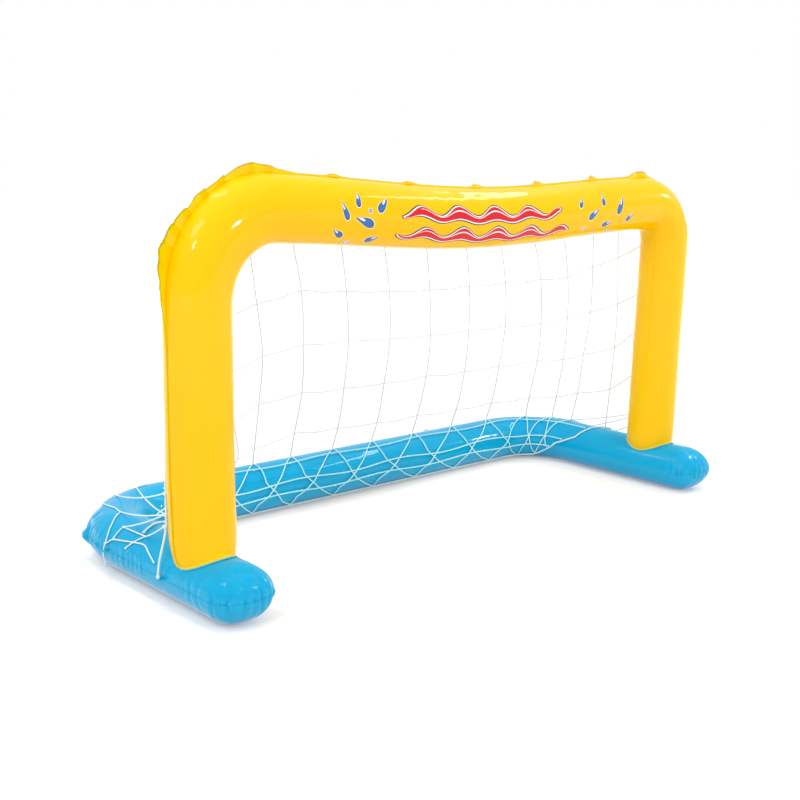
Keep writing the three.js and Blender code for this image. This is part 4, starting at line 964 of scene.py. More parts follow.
def ropes(material):
    """The two ropes that carry the net: three laid strands each, knotted at their ends."""
    def rope(name, route, reference, radius, knot, across, seed, node):
        shape = cord_shape(route, reference, radius, 12, strands=3, pitch=15.0)
        ends = knot_shape(route[[0, -1]], knot, across, seed)
        cord_piece(name, [shape, ends], material, [node])

    edge = smooth_route(edge_rope_route(), 2.2)
    rope("edge_rope", edge, (0.02, 1.0, 0.03), 2.1, 4.0, False, 7, "net_edge_rope")
    climb = [(-p, a) for p, a in reversed(RISE)]
    route, normal = laid([*climb, (-REAR_HALF, -49), (REAR_HALF, -49), *RISE], 2.8, 2.4)
    rope("foot_rope", route, normal, 2.0, 3.2, True, 8, "net_foot_rope")


# Each lacing strand's places: a share of the way along the base's side and an angle on its
# skin, or "rope" and a share of the height at which the rope leaves the post
LACING = [
    [("rope", 1.307), (0.2065, 113), (0.2718, 126)],
    [(0.0527, 97), (0.1011, 100), ("rope", 1.067)],
    [("rope", 1.067), (0.453, 99), (0.4973, 127), (0.5246, 152), (0.5289, 172)],
    [(0.453, 99), (0.3898, 100), (0.2718, 126)],
    [("rope", 1.067), (0.5731, 125), (0.5689, 151)],
    [(0.5731, 125), (0.7311, 123), ("rope", 0.933)],
    [(0.5289, 168), (0.5626, 154), (0.7459, 138), (0.7733, 138), (0.8702, 158)],
    [(0.7311, 123), (0.6679, 158)],
]


OVER_LIP = 172  # a strand that ends at this angle goes on down over the lip
LIP_DROP = np.array([[66.4, 50, -1], [66.9, 44, -1.5], [66.2, 34, -3], [64.6, 22, -6]])
LACE, LACE_LIFT = 1.35, 1.75


def corner_lacing(name, hand, material, node):
    """The strands that tie the net's corner down: over the tube between the rope's low end
    and the seam, with a loop round the rope and a knot where strands meet."""
    tail = rope_tail(hand)
    shapes, knots, heights = [], [], set()
    for strand in LACING[0 if hand < 0 else 2:]:
        route, _ = laid([(hand * side_place(s), a) for s, a in strand if s != "rope"],
                        LACE_LIFT, 6.0)
        starts, ends = strand[0][0] == "rope", strand[-1][0] == "rope"
        if starts or ends:
            height = strand[0 if starts else -1][1] * ROPE_LEAVE
            heights.add(height)
            centre = at_height(tail, height)
            near = route[0 if starts else -1]
            tip = centre + 3.2 * unit((near - centre) * [1, 1, 0])
            reach = np.linalg.norm(near - tip)
            share = np.linspace(0, 1, max(int(reach / 9), 3))[:-1, None]
            span = mix(tip, near, share) - 0.02 * reach * 4 * share * (1 - share) * [0, 0, 1.0]
            route = np.concatenate([span, route] if starts else [route, span[::-1]])
            knots.append(tip)
        if strand[-1][1] == OVER_LIP:
            edge, out = base_path(np.array(hand * side_place(strand[-1][0])))
            across, down, back = LIP_DROP.T
            hang = np.concatenate([edge + out * across[:, None], down[:, None]], -1)
            route = np.concatenate([route, hang + back[:, None] * [0, 1, 0]])
            knots.append(route[-6])
        shapes.append(cord_shape(smooth_route(route, 4.0), (0.3, 0.2, 1.0), LACE, 8))
        knots.append(route[0 if ends else -1])
    turn = np.arange(10) / 10 * 2 * np.pi
    for height in sorted(heights):
        for rise in (-1.4, 1.4):
            loop = np.stack([3.3 * np.cos(turn), 3.3 * np.sin(turn), rise + 0 * turn], -1)
            shapes.append(cord_shape(
                at_height(tail, height) + loop, (0, 0, 1.0), LACE, 8, closed=True))
    shapes.append(knot_shape(np.array(knots), 2.3, False, 9))
    cord_piece(name, shapes, material, [node])


# Tabs and their ties

TABS = 7
BACK, UP = np.array([0, 1.0, 0]), np.array([0, 0, 1.0])


def head_tab_place(x):
    """A tab's spot on the crossbar's top seam, the way along the seam and the way up."""
    stations, at = np.arange(len(OUTER)), bar_station(x)
    before, here, after = (np.array([np.interp(at + d, stations, OUTER[:, k]) for k in range(2)])
                           for d in (-2, 0, 2))
    along = unit(np.array([after[0] - before[0], 0, after[1] - before[1]]))
    return np.array([x, POST_PLANE + 0.9, here[1]]), along, np.cross(along, BACK)


TAB_CORNER, TAB_ROOT = 4.0, 3.5


def tab_outline(width, reach, count=64):
    """A tab's outline by angle about its eyelet: a rectangle with two rounded corners."""
    turn = 2 * np.pi * np.arange(count) / count
    way = np.stack([np.cos(turn), np.sin(turn)], -1)
    centre = np.array([0, reach / 2])
    low, high = np.array([-width / 2, -TAB_ROOT]), np.array([width / 2, reach])
    span = np.where(way > 0, (high - centre) / np.maximum(np.abs(way), 1e-9),
                    (centre - low) / np.maximum(np.abs(way), 1e-9)).min(-1)
    edge = centre + way * span[:, None]
    bend = high - TAB_CORNER
    beyond = np.stack([np.abs(edge[:, 0]), edge[:, 1]], -1) - bend
    pulled = bend + TAB_CORNER * unit(np.maximum(beyond, 1e-6))
    pulled[:, 0] *= np.sign(edge[:, 0])
    return np.where((beyond > 0).all(-1, keepdims=True), pulled, edge), centre, way


def eyelet_tab(name, width, reach, spot, across, out, normal, material, slot, node, seed):
    """A film tab: rings of points from the eyelet's edge, over a raised ring pressed round
    it, to the rounded outline, a little curled, with a wall's thickness."""
    edge, centre, way = tab_outline(width, reach)
    share = np.array([0, 0.18, 0.36, 0.5, 0.68, 0.86, 1.0])
    ring = centre + way * min(2.5, 0.29 * reach)
    flat = mix(ring[:, None], edge[:, None], share[:, None])
    raised = 0.42 * np.exp(-((share - 0.2) / 0.16) ** 2)
    curl = 0.5 * np.sin(flat[..., 0] / 3.7 + seed) * np.clip(flat[..., 1] / reach, 0, 1)
    height = 0.8 + raised + curl * (share > 0.3)
    points = spot + flat[..., :1] * across + flat[..., 1:] * out + height[..., None] * normal
    rows, columns = points.shape[:2]
    faces = grid_faces(rows, columns, ring_rows=True)
    points = points.reshape(-1, 3)
    polygons = facing_out(points, [faces], points - normal)
    points, polygons = walled(points, polygons, 0.8)
    new_piece(name, points, polygons, material, slot, [node])


def head_tabs(material, cord):
    """The clear tabs on the crossbar, each with a cord tie through it and the rope."""
    hole, top = TAB_REACH / 2, TAB_REACH + 1.0
    for i in range(TABS):
        spot, along, up = head_tab_place((i - TABS // 2) * TAB_PITCH)
        lean = np.radians(TAB_LEAN[i])
        rise_way = np.cos(lean) * up + np.sin(lean) * BACK
        face_way = np.cos(lean) * BACK - np.sin(lean) * up
        foot = spot + up * LIP
        eyelet_tab(f"head_tab_film_{i + 1}", 22.0, TAB_REACH, foot, np.cross(up, BACK),
                   rise_way, face_way, material, "clear_tab", f"head_tab_{i + 1}", i)
        x = spot[0] + (-4 if spot[0] < -20 else 4)
        rope = arch_skin(bar_station(x), BAR_ROPE_TURN, 4.6)
        by_tab = [(2.0, hole - 0.5), (-1.2, hole), (-1.3, top - 0.9), (0.4, top + 1.0), (2.2, top)]
        by_rope = [(0.35, 1.0), (1, 0.5), (1, -0.5), (0.2, -1.05), (-0.75, -0.8), (1.15, 0.6)]
        route = [foot + face_way * y + rise_way * rise for y, rise in by_tab]
        *around, bow = [rope + 3.4 * (BACK * y + up * rise) for y, rise in by_rope]
        loop = cord_shape(smooth_route([*route, *around], 1.6, True), along, 1.05, 8, closed=True)
        ends = [cord_shape(smooth_route([bow, bow + [s * 3, 3, -1], bow + [s * 6, 3.5, -9]], 2.0),
                           (0.1, 1.0, 0.2), 0.95, 7) for s in (-1, 1)]
        cord_piece(f"head_tie_cord_{i + 1}", [loop, *ends, knot_shape(bow[None], 2.0, True, i)],
                   cord, [f"head_tie_{i + 1}"])


def base_tabs(material):
    """The four blue tabs on the base's outer seam."""
    for part, along in (("side", POST_PLACE - 31), ("corner", side_place(0.5373))):
        for side, hand in ENDS.items():
            spot, out = base_path(np.array(hand * along))
            spot = np.append(spot + out * (BASE_HALF + LIP), 50.9)
            out = np.append(out, 0.0)
            name = f"{side}_{part}"
            eyelet_tab(f"{name}_tab_film", 16.0, 7.5, spot, np.cross(out, UP), out, UP,
                       material, "blue_film", f"{name}_tab", len(name))


# Post welds

def weld_ring(name, hand, material, node):
    """The welded ring under a post: a flat collar on the base's crown and a low bead up
    the post's wall, with small pleats, carried round the post's ellipse."""
    turn = np.linspace(0, 2 * np.pi, 181)[:-1, None]
    out, ahead, half, deep = WELD[hand]
    profile = np.array([  # beyond the weld line across and along, lift
        [-5, -5, 0], [-1, 0, 0], [3.2, 5.2, 0], [3.4, 5.6, 0.4], [3.1, 4.8, 0.9], [2.2, 3, 1.0],
        [1.6, 1.6, 1.4], [1.4, 1.4, 2.9], [0.8, 0.8, 3.5], [-0.4, -0.4, 3.0], [-1.2, -1.2, 1.2],
        [-5, -5, 0.8]])
    pleat = 0.3 * np.sin(turn * 38 + 2 * np.sin(turn * 5)) * (profile[:, 2] > 0.85)
    width, depth = half + profile[:, 0] + pleat, deep + profile[:, 1] + pleat
    offset = hand * out + width * np.cos(turn)
    y = POST_PLANE + ahead + depth * np.sin(turn)
    z = crown_at(np.clip(offset, -58.5, 58.5)) + 0.7 + profile[:, 2] + 0.3 * pleat
    points = np.stack([hand * POST_X + offset, y, z], -1)
    core = hand * out + half * np.cos(turn)
    middle = np.stack(np.broadcast_arrays(
        hand * POST_X + core, POST_PLANE + ahead + deep * np.sin(turn), crown_at(core) + 1.2), -1)
    rows, columns = points.shape[:2]
    centres = np.broadcast_to(middle, points.shape).reshape(-1, 3)
    flat = points.reshape(-1, 3)
    polygons = facing_out(flat, [grid_faces(rows, columns, True, True)], centres)
    bead = np.broadcast_to(ease((profile[:, 2] - 0.95) / 0.5), (rows, columns)).reshape(-1)
    new_piece(name, flat, polygons, material, "weld_strip", [node], marks={"bead": bead})


# Valves

def rounded(corners, radius=0.35, steps=3):
    """A closed outline with each corner cut by a short arc, as moulded vinyl has."""
    c = np.asarray(corners, float)
    before, after = np.roll(c, 1, 0), np.roll(c, -1, 0)
    reach = np.minimum(radius, 0.45 * np.minimum(
        np.linalg.norm(before - c, axis=-1), np.linalg.norm(after - c, axis=-1)))[:, None]
    a, b = c + unit(before - c) * reach, c + unit(after - c) * reach
    t = np.linspace(0, 1, steps + 1)[:, None, None]
    arc = (1 - t) ** 2 * a + 2 * t * (1 - t) * c + t**2 * b
    return arc.transpose(1, 0, 2).reshape(-1, 2)


def turned(profile, steps=72, shape=None):
    """A closed profile of radius and height turned about its own axis."""
    turn = 2 * np.pi * np.arange(steps)[:, None] / steps
    radius, height = profile[:, 0] + 0 * turn, profile[:, 1] + 0 * turn
    if shape is not None:
        height = shape(turn, radius, height)
    grid = np.stack([radius * np.cos(turn), radius * np.sin(turn), height], -1)
    return closed_mesh(grid, (True, True))


def block(low, high, radius):
    """A small block with softened edges: a sphere's points pushed out to a box."""
    low, high = np.asarray(low, float), np.asarray(high, float)
    u, v = np.meshgrid(
        np.linspace(0, 2 * np.pi, 33)[:-1], np.linspace(0, np.pi, 17), indexing="ij")
    ball = np.stack([np.sin(v) * np.cos(u), np.sin(v) * np.sin(u), np.cos(v)], -1)
    size = (high - low) / 2 - radius
    points = (low + high) / 2 + np.sign(np.round(ball, 6)) * size + ball * radius
    return closed_mesh(points, (True, False))


# The valve's profiles: radius and height over the film
DISC = [(6.4, -12), (7.8, -12), (7.8, 0.3), (15.9, 0.3), (16.0, 0.7), (13.6, 1.1), (13.0, 1.32),
        (11.9, 1.32), (11.4, 1.1), (9.2, 1.1), (6.4, 1.1)]
STEM = [(3.7, -11.6), (6.1, -11.6), (6.1, -6.4), (5.7, -6.0), (5.7, -5.2), (6.1, -4.8),
        (6.1, 1.4), (8.0, 1.4), (8.0, 2.8), (3.7, 2.8)]
PLUG = [(0.001, 0.7), (2.4, 0.7), (3.05, 1.3), (2.85, 1.9), (3.3, 2.6), (3.4, 3.1), (6.6, 3.1),
        (6.6, 4.7), (5.7, 4.7), (5.3, 4.35), (3.1, 4.35), (2.0, 4.7), (2.0, 6.3), (1.5, 6.9),
        (0.001, 6.9)]
FLAP = [(0.001, -12.5), (5.2, -12.5), (5.2, -11.9), (4.6, -11.95), (0.001, -11.9)]
HINGE_EAR = ([7.2, -2.1, 1.45], [9.0, 2.1, 2.75], 0.35)
STRAP = ([5.2, -2.0, 3.2], [9.1, 2.0, 4.6], 0.45)
STRAP_BEND = ([6.0, -1.5, 3.15], [9.0, 1.5, 4.0], 0.4)


def valve(kind, film_radius, film_material, plug_material):
    """A push-in air valve: a disc and neck on the film, a soft stem with a rim, a plug on
    a short strap, and a check flap under the stem."""
    spot, axes = VALVES[kind]

    def follow_film(turn, radius, height):
        """The disc drops with the film's round, and its rim is finely ribbed."""
        drop = film_radius - np.sqrt(film_radius**2 - (radius * np.sin(turn)) ** 2)
        return height - np.where(radius > 7.9, drop, 0) + 0.06 * np.cos(36 * turn) * (radius > 12)

    stem = stacked([turned(rounded(STEM)), block(*HINGE_EAR)])
    plug = stacked([turned(rounded(PLUG, 0.25), 64), block(*STRAP), block(*STRAP_BEND)])
    for name, (points, polygons), node, body in (
            ("disc", turned(rounded(DISC, 0.3), shape=follow_film), "flange", BODY),
            ("neck", stem, "stem", f"{kind}_valve_stem"),
            ("cap", plug, "plug", f"{kind}_valve_plug"),
            ("flap_disc", turned(rounded(FLAP, 0.12), 48), "check_flap", f"{kind}_valve_flap")):
        material, slot = (plug_material, "plug_plastic") if name == "cap" \
            else (film_material, "valve_plastic")
        new_piece(f"{kind}_valve_{name}", points @ axes + spot, polygons, material, slot,
                  [f"{kind}_valve_{node}"], body, crease=38)


# Printed shapes on the crossbar's front

def front_film_point(x, arc, lift, points, swing):
    """A place on the front film by its place along the bar and round the section, read off
    the film's own points so that print follows its unevenness."""
    at = bar_station(x)
    column = LIP_ROWS + np.interp(np.radians(arc), swing, np.arange(len(swing)))
    i, j = np.floor(at).astype(int), np.floor(column).astype(int)
    u, v = (at - i)[..., None], (column - j)[..., None]
    place = (points[i, j] * (1 - u) * (1 - v) + points[i + 1, j] * u * (1 - v)
             + points[i, j + 1] * (1 - u) * v + points[i + 1, j + 1] * u * v)
    middle = (OUTER[i] + INNER[i]) / 2
    centre = np.stack([middle[..., 0], np.full(i.shape, POST_PLANE), middle[..., 1]], -1)
    away = (place - centre) * [0, 1, 1]
    return place + unit(away) * lift


def water_drop(length, width, lean, rim=0.0):
    """A drop as a grid from its spine to its outline: round at one end, drawn to a point
    at the other, grown by a rim."""
    turn = np.linspace(0, 2 * np.pi, 49)
    share = np.linspace(0, 1, 7)[:, None]
    x = (length + rim) * np.cos(turn)
    y = (width + rim) * np.sin(turn) * np.sin(turn / 2) ** 1.6
    cos, sin = np.cos(lean), np.sin(lean)
    return share * (x * cos - y * sin), share * (x * sin + y * cos)


def wave_band(length, thick, swell, turns, rim=0.0):
    """A wavy band as a grid across its middle line, which is a sine: thickest on the
    crests, drawn to a point at both ends, grown by a rim."""
    t = np.linspace(0, 1, 161)[:, None]
    phase = 2 * np.pi * turns * (t - 0.5)
    point = np.sin(np.pi * t)
    half = thick * (0.72 + 0.28 * np.sin(phase)) * point ** 0.45 + rim * point ** 0.2
    across = np.linspace(-1, 1, 7)
    return (t - 0.5) * (length + 3 * rim) + 0 * across, swell * np.sin(phase) + half * across


def bubble(radius, width):
    """A ring between two circles."""
    turn = np.linspace(0, 2 * np.pi, 41)
    reach = np.linspace(radius - width, radius, 4)[:, None]
    return reach * np.cos(turn), reach * np.sin(turn)


# Drops: place along the bar, angle on it, length, width and lean
DROPS = [(-402, 128, 13, 7.5, 2.6), (-388, 86, 15, 7, 1.9), (-352, 66, 12, 6, 1.2),
         (-345, 103, 21, 10, 2.9), (-318, 138, 14, 8, 0.4), (-296, 72, 17, 8, 0.7),
         (262, 70, 10, 5.5, 0.9), (300, 96, 17, 8.5, 0.5), (334, 68, 12, 6, 1.5),
         (352, 122, 14, 7.5, 0.2), (392, 84, 19, 9.5, 1.0), (428, 112, 12, 6.5, 0.6)]
BUBBLES = [(-372, 152, 5.5), (-330, 84, 3.5), (276, 128, 5), (316, 140, 3.5), (372, 146, 6)]
BANDS = [(-30, 84, 440, 4.5), (-22, 124, 480, 5.0)]
INK_LAYERS = (0.12, 0.22, 0.32, 0.42)  # each layer's height over the film
INK_DEPTH, BAND_SWELL = 0.09, 6.5
PER_DEGREE = np.pi / 180 * 56


def crossbar_print(inks):
    """A plain design along the crossbar's front: two wavy bands with drops and bubbles
    at both ends, in thin layers of ink that follow the film."""
    points, _, _, swing = arch_grid(-1)
    layers = {ink: [] for ink in inks}

    def patch(ink, layer, shape, x, arc):
        lift = INK_LAYERS[layer]
        place = front_film_point(x + shape[0], arc - shape[1] / PER_DEGREE, lift, points, swing)
        flat, polygons, _ = merged(place.reshape(-1, 3), grid_faces(*place.shape[:2]))
        polygons = facing_out(flat, polygons, flat * [1, 0, 0] + [0, POST_PLANE, 660.0])
        layers[ink].append(walled(flat, polygons, INK_DEPTH))

    for x, arc, length, width, lean in DROPS:
        for layer, (ink, rim) in enumerate((("white", 3.2), ("dark", 1.7), ("blue", 0.0))):
            patch(ink, layer, water_drop(length, width, lean, rim), x, arc)
        shine = 0.34 * length
        patch("white", 3, water_drop(0.42 * length, 0.34 * width, lean),
              x + shine * np.cos(lean) - 0.2 * width * np.sin(lean),
              arc - (shine * np.sin(lean) + 0.2 * width) / PER_DEGREE)
    for x, arc, radius in BUBBLES:
        patch("white", 0, bubble(radius + 1.2, radius), x, arc)
        patch("blue", 1, bubble(radius, 1.7), x, arc)
    for x, arc, length, turns in BANDS:
        for layer, (ink, rim) in enumerate((("dark", 4.2), ("white", 2.3), ("red", 0.0))):
            patch(ink, layer, wave_band(length, 11.5, BAND_SWELL, turns, rim), x, arc)
        patch("white", 3, wave_band(0.8 * length, 1.4, BAND_SWELL, 0.8 * turns), x, arc - 3.5)
    for ink, shapes in layers.items():
        new_piece(f"print_{ink}", *stacked(shapes), inks[ink], "yellow_film")


# Materials

WHITE = (1.0, 1.0, 1.0, 1.0)


def lay(tree, kind, inputs=None, **settings):
    """A new node with its settings. An input takes a plain value, or another node's output
    by a link."""
    made = tree.nodes.new(kind)
    for key, value in settings.items():
        setattr(made, key, value)
    for socket, value in (inputs or {}).items():
        if isinstance(value, bpy.types.NodeSocket):
            tree.links.new(value, made.inputs[socket])
        else:
            made.inputs[socket].default_value = value
    return made


def reckon(tree, operation, *values, **settings):
    """One to three values worked out by a Math node."""
    inputs = dict(enumerate(values))
    return lay(tree, "ShaderNodeMath", inputs, operation=operation, **settings).outputs[0]


def ranged(tree, *numbers):
    """A value moved from one range to another and held in it: the value, the first range's
    two ends and the second's."""
    return lay(tree, "ShaderNodeMapRange", dict(enumerate(numbers))).outputs[0]


def tinted(tree, share, first, second):
    """A colour a share of the way from the first to the second."""
    inputs = {"Factor": share, "A": first, "B": second}
    return lay(tree, "ShaderNodeMix", inputs, data_type="RGBA").outputs["Result"]


def noise(tree, place, scale, detail, **more):
    """A noise texture's value at a place."""
    inputs = {"Vector": place, "Scale": scale, "Detail": detail, **more}
    return lay(tree, "ShaderNodeTexNoise", inputs).outputs["Fac"]


def turned_place(tree, place, **turn):
    """A place turned and stretched by a Mapping node."""
    return lay(tree, "ShaderNodeMapping", {"Vector": place, **turn}).outputs[0]


def new_group(name, inputs, outputs):
    """An empty shader group: its inputs by name and first value, where white makes a colour
    socket, and its outputs by name."""
    tree = bpy.data.node_groups.new(name, "ShaderNodeTree")
    sockets = [(label, "INPUT", value is WHITE) for label, value in inputs.items()]
    sockets += [(label, "OUTPUT", label == "Colour") for label in outputs]
    for label, way, coloured in sockets:
        kind = "NodeSocketColor" if coloured else "NodeSocketFloat"
        socket = tree.interface.new_socket(name=label, in_out=way, socket_type=kind)
        if way == "INPUT":
            socket.default_value = inputs[label]
    return tree, tree.nodes.new("NodeGroupInput").outputs


def close_group(tree, **results):
    """Links the results to the group's outputs."""
    lay(tree, "NodeGroupOutput", results)
    return tree


def film_finish_group():
    """Blown film: slow cloudiness in the colour, haze and fine scuffs in the gloss, a pressed
    hatch along the weld, a weld colour that is painted light where it is set lighter than the
    film, stress-whitening beside the weld, which on the base's bottom sheet reaches far down as a
    painted reflection of the floor, and a faint pebble."""
    tree, given = new_group(
        "blown_film_finish",
        {"Colour": WHITE, "Stretched_and_Reflection": WHITE, "Weld": WHITE, "Cut": WHITE, "Gloss": 0.2},
        ("Colour", "Roughness", "Height"))
    place = lay(tree, "ShaderNodeTexCoord").outputs["Object"]
    seam = lay(tree, "ShaderNodeAttribute", attribute_name="from_seam").outputs["Fac"]
    cloud = noise(tree, place, 7.0, 4.0, Roughness=0.55)
    haze = noise(tree, place, 38.0, 5.0, Roughness=0.6)
    scuff_place = turned_place(tree, place, Rotation=(0.5, 0.9, 0.3), Scale=(1, 9, 1))
    scuff = noise(tree, scuff_place, 90.0, 3.0, Distortion=0.4)
    pebble = noise(tree, place, 420.0, 2.0)
    on_weld = ranged(tree, seam, -0.2, -1.0, 0.0, 1.0)
    colour = given["Colour"]
    for share, second in (
            (ranged(tree, cloud, 0.35, 0.72, 0.0, 0.55), "Stretched_and_Reflection"),
            # Paler beside the seam: stress-whitening, and on the base's bottom sheet, whose
            # distance from the seam is shrunk, a painted reflection of the floor
            (ranged(tree, seam, 0.0, 14.0, 0.8, 0.0), "Stretched_and_Reflection"),
            # On the lip and flange the weld colour, which on the yellow and blue films is lighter
            # than the film: painted light against the shade there
            (on_weld, "Weld"),
            (ranged(tree, seam, -3.3, -3.6, 0.0, 1.0), "Cut")):
        colour = tinted(tree, share, colour, given[second])
    worn = ranged(tree, scuff, 0.55, 0.8, 0.0, 0.22)
    rough = reckon(tree, "ADD", worn, ranged(tree, haze, 0.4, 0.75, -0.03, 0.1))
    rough = reckon(tree, "ADD", rough, given["Gloss"], use_clamp=True)
    hatch_place = turned_place(tree, place, Rotation=(0.6, 0.5, 0.78))
    hatch = lay(tree, "ShaderNodeTexWave",
                {"Vector": hatch_place, "Scale": 260.0, "Distortion": 0.0}).outputs["Fac"]
    pressed = reckon(tree, "MULTIPLY", reckon(tree, "MULTIPLY", hatch, on_weld), 2.2)
    height = reckon(tree, "MULTIPLY_ADD", pebble, 0.14, pressed)
    return close_group(tree, Colour=colour, Roughness=rough, Height=height)


def yarn_group():
    """Laid yarn by the cord's own map: a sine of the turn and the way along makes the strands,
    darker in the grooves with painted shade, with noise for loose fibres."""
    tree, given = new_group(
        "laid_yarn", {"Yarn": WHITE, "Groove_Shade": WHITE, "Strands": 2.0, "Turns": 110.0},
        ("Colour", "Height"))
    place = lay(tree, "ShaderNodeTexCoord").outputs
    parts = lay(tree, "ShaderNodeSeparateXYZ", {0: place["UV"]}).outputs
    turn = reckon(tree, "MULTIPLY", parts["X"], given["Strands"])
    along = reckon(tree, "MULTIPLY_ADD", parts["Y"], given["Turns"], turn)
    wave = reckon(tree, "SINE", reckon(tree, "MULTIPLY", along, 2 * np.pi))
    strand = ranged(tree, wave, -1.0, 0.4, 0.0, 1.0)
    fuzz = noise(tree, place["Object"], 900.0, 3.0)
    grime = ranged(tree, noise(tree, place["Object"], 14.0, 3.0), 0.35, 0.8, 1.0, 0.75)
    shade = reckon(tree, "MULTIPLY", strand, grime)
    # The groove colour is painted shade: the strands are mixed towards it in their grooves, and
    # also darker in random grimy patches
    return close_group(
        tree, Colour=tinted(tree, shade, given["Groove_Shade"], given["Yarn"]),
        Height=reckon(tree, "MULTIPLY_ADD", fuzz, 0.25, strand))


FILM_GROUP, YARN_GROUP = film_finish_group(), yarn_group()


def linear(screen):
    """A screen colour of 0 to 255 as the linear colour that shaders take."""
    c = np.array(screen) / 255
    c = np.where(c <= 0.04045, c / 12.92, ((c + 0.055) / 1.055) ** 2.4)
    return (*c.tolist(), 1.0)


def new_material(name, **plain):
    """A material with one Principled shader and its plain values."""
    material = bpy.data.materials.new(name)
    material.use_nodes = True
    shader = material.node_tree.nodes["Principled BSDF"]
    for socket, value in plain.items():
        shader.inputs[socket.replace("_", " ")].default_value = value
    return material, material.node_tree, shader


def finished(name, group, values, strength, depth, **plain):
    """A material with a finish group's colour, gloss if it has one, and height as a bump."""
    material, tree, shader = new_material(name, **plain)
    finish = lay(tree, "ShaderNodeGroup", values, node_tree=group).outputs
    bump = lay(tree, "ShaderNodeBump",
               {"Strength": strength, "Distance": depth, "Height": finish["Height"]})
    tree.links.new(finish["Colour"], shader.inputs["Base Color"])
    if "Roughness" in finish:
        tree.links.new(finish["Roughness"], shader.inputs["Roughness"])
    tree.links.new(bump.outputs["Normal"], shader.inputs["Normal"])
    return material


def film_material(name, gloss, colour, stretched, weld, cut=None, **plain):
    """Glossy film in a colour, paler where it is stretched, with the colours of its weld and of
    the lip's cut edge. The paler colour is also a painted reflection of the floor on the base's
    bottom sheet, and a weld colour lighter than the film is painted light on the shaded flange and
    seam."""
    values = {"Colour": linear(colour), "Stretched_and_Reflection": linear(stretched), "Weld": linear(weld),
              "Cut": linear(cut or weld), "Gloss": gloss}
    return finished(name, FILM_GROUP, values, 0.22, 0.0006, **plain)


def yarn_material(name, yarn, groove_shade, strands, turns, roughness):
    """Pale yarn with laid strands along the cord."""
    values = {"Yarn": linear(yarn), "Groove_Shade": linear(groove_shade), "Strands": strands, "Turns": turns}
    return finished(name, YARN_GROUP, values, 0.35, 0.0004, Roughness=roughness,
                    Sheen_Weight=0.1, Specular_IOR_Level=0.3)


# The yellow's weld colour, lighter than the film, is painted light: it lifts the flange out of its
# shade and stands for the light through its thin film.
yellow_film = film_material(
    "yellow_vinyl_film", 0.2, (255, 200, 0), (255, 206, 0), (244, 216, 0), (206, 182, 0),
    Specular_IOR_Level=0.03, Coat_Weight=0.24, Coat_Roughness=0.015)
# The blue's weld colour, lighter than the film, is painted light that softens the shade along the
# seam; its paler stretched colour is also the bottom sheet's painted reflection of the floor.
blue_film = film_material(
    "blue_vinyl_film", 0.16, (0, 168, 220), (8, 180, 228), (24, 184, 228), (14, 174, 222),
    Specular_IOR_Level=0.03, Coat_Weight=0.34, Coat_Roughness=0.015)
weld_film = film_material(
    "weld_collar_film", 0.26, (0, 172, 222), (70, 190, 222), (240, 226, 60),
    Specular_IOR_Level=0.35)
weld_tree = weld_film.node_tree
on_bead = lay(weld_tree, "ShaderNodeAttribute", attribute_name="bead").outputs["Fac"]
bead_tint = tinted(weld_tree, on_bead, linear((24, 172, 206)), linear((236, 214, 40)))
for socket in ("Colour", "Stretched_and_Reflection"):
    weld_tree.links.new(bead_tint, weld_tree.nodes["Group"].inputs[socket])
clear_film = film_material(
    "clear_tab_vinyl", 0.2, (248, 208, 10), (252, 216, 30), (252, 218, 40),
    Specular_IOR_Level=0.2, Alpha=0.94)
valve_vinyl = film_material(
    "valve_vinyl", 0.22, (222, 230, 234), (232, 238, 240), (236, 240, 242),
    Specular_IOR_Level=0.5, Subsurface_Weight=0.1)
cap_vinyl = film_material(
    "valve_cap_vinyl", 0.3, (40, 140, 196), (62, 152, 204), (80, 160, 208),
    Specular_IOR_Level=0.45)
net_yarn = yarn_material("net_yarn", (242, 244, 247), (220, 223, 227), 2.0, 160.0, 0.8)
skirt_yarn = yarn_material("skirt_yarn", (206, 252, 252), (170, 236, 242), 2.0, 160.0, 0.8)
rope_yarn = yarn_material("rope_yarn", (242, 254, 254), (216, 238, 240), 3.0, 200.0, 0.75)
INK_COLOURS = {
    "red": ((214, 18, 40), (222, 34, 50), (222, 34, 50)),
    "dark": ((40, 34, 60), (52, 46, 72), (52, 46, 72)),
    "blue": ((42, 104, 180), (60, 120, 190), (60, 120, 190)),
    "white": ((244, 246, 246), (248, 248, 248), (250, 250, 250)),
}
INKS = {ink: film_material(f"{ink}_ink", 0.25, *colours, Specular_IOR_Level=0.2)
        for ink, colours in INK_COLOURS.items()}


# The goal

for side, hand in (("front", -1), ("back", 1)):
    arch_sheet(f"arch_{side}_film", hand, yellow_film, f"arch_{side}_sheet")
for side, hand in (("top", 1), ("bottom", -1)):
    base_sheet(f"base_{side}_film", hand, blue_film, f"base_{side}_sheet")
for side, hand in ENDS.items():
    weld_ring(f"{side}_weld_collar", hand, weld_film, f"{side}_post_weld_skirt")
hanging_net(net_yarn)
foot_net(skirt_yarn)
ropes(rope_yarn)
for side, hand in ENDS.items():
    corner_lacing(f"{side}_lacing", hand, rope_yarn, f"{side}_corner_lacing")
head_tabs(clear_film, rope_yarn)
base_tabs(blue_film)
valve("arch", TUBE_HALF, valve_vinyl, cap_vinyl)
valve("base", BASE_HALF, valve_vinyl, cap_vinyl)
crossbar_print(INKS)


# Floor, light and background

FLOOR_HALF, FLOOR_LEVEL = 20.0, -0.0006
FLOOR_GLOW = (0.9, 3.4, 0.3, 0.9)  # near and far from the middle, and the glow at each


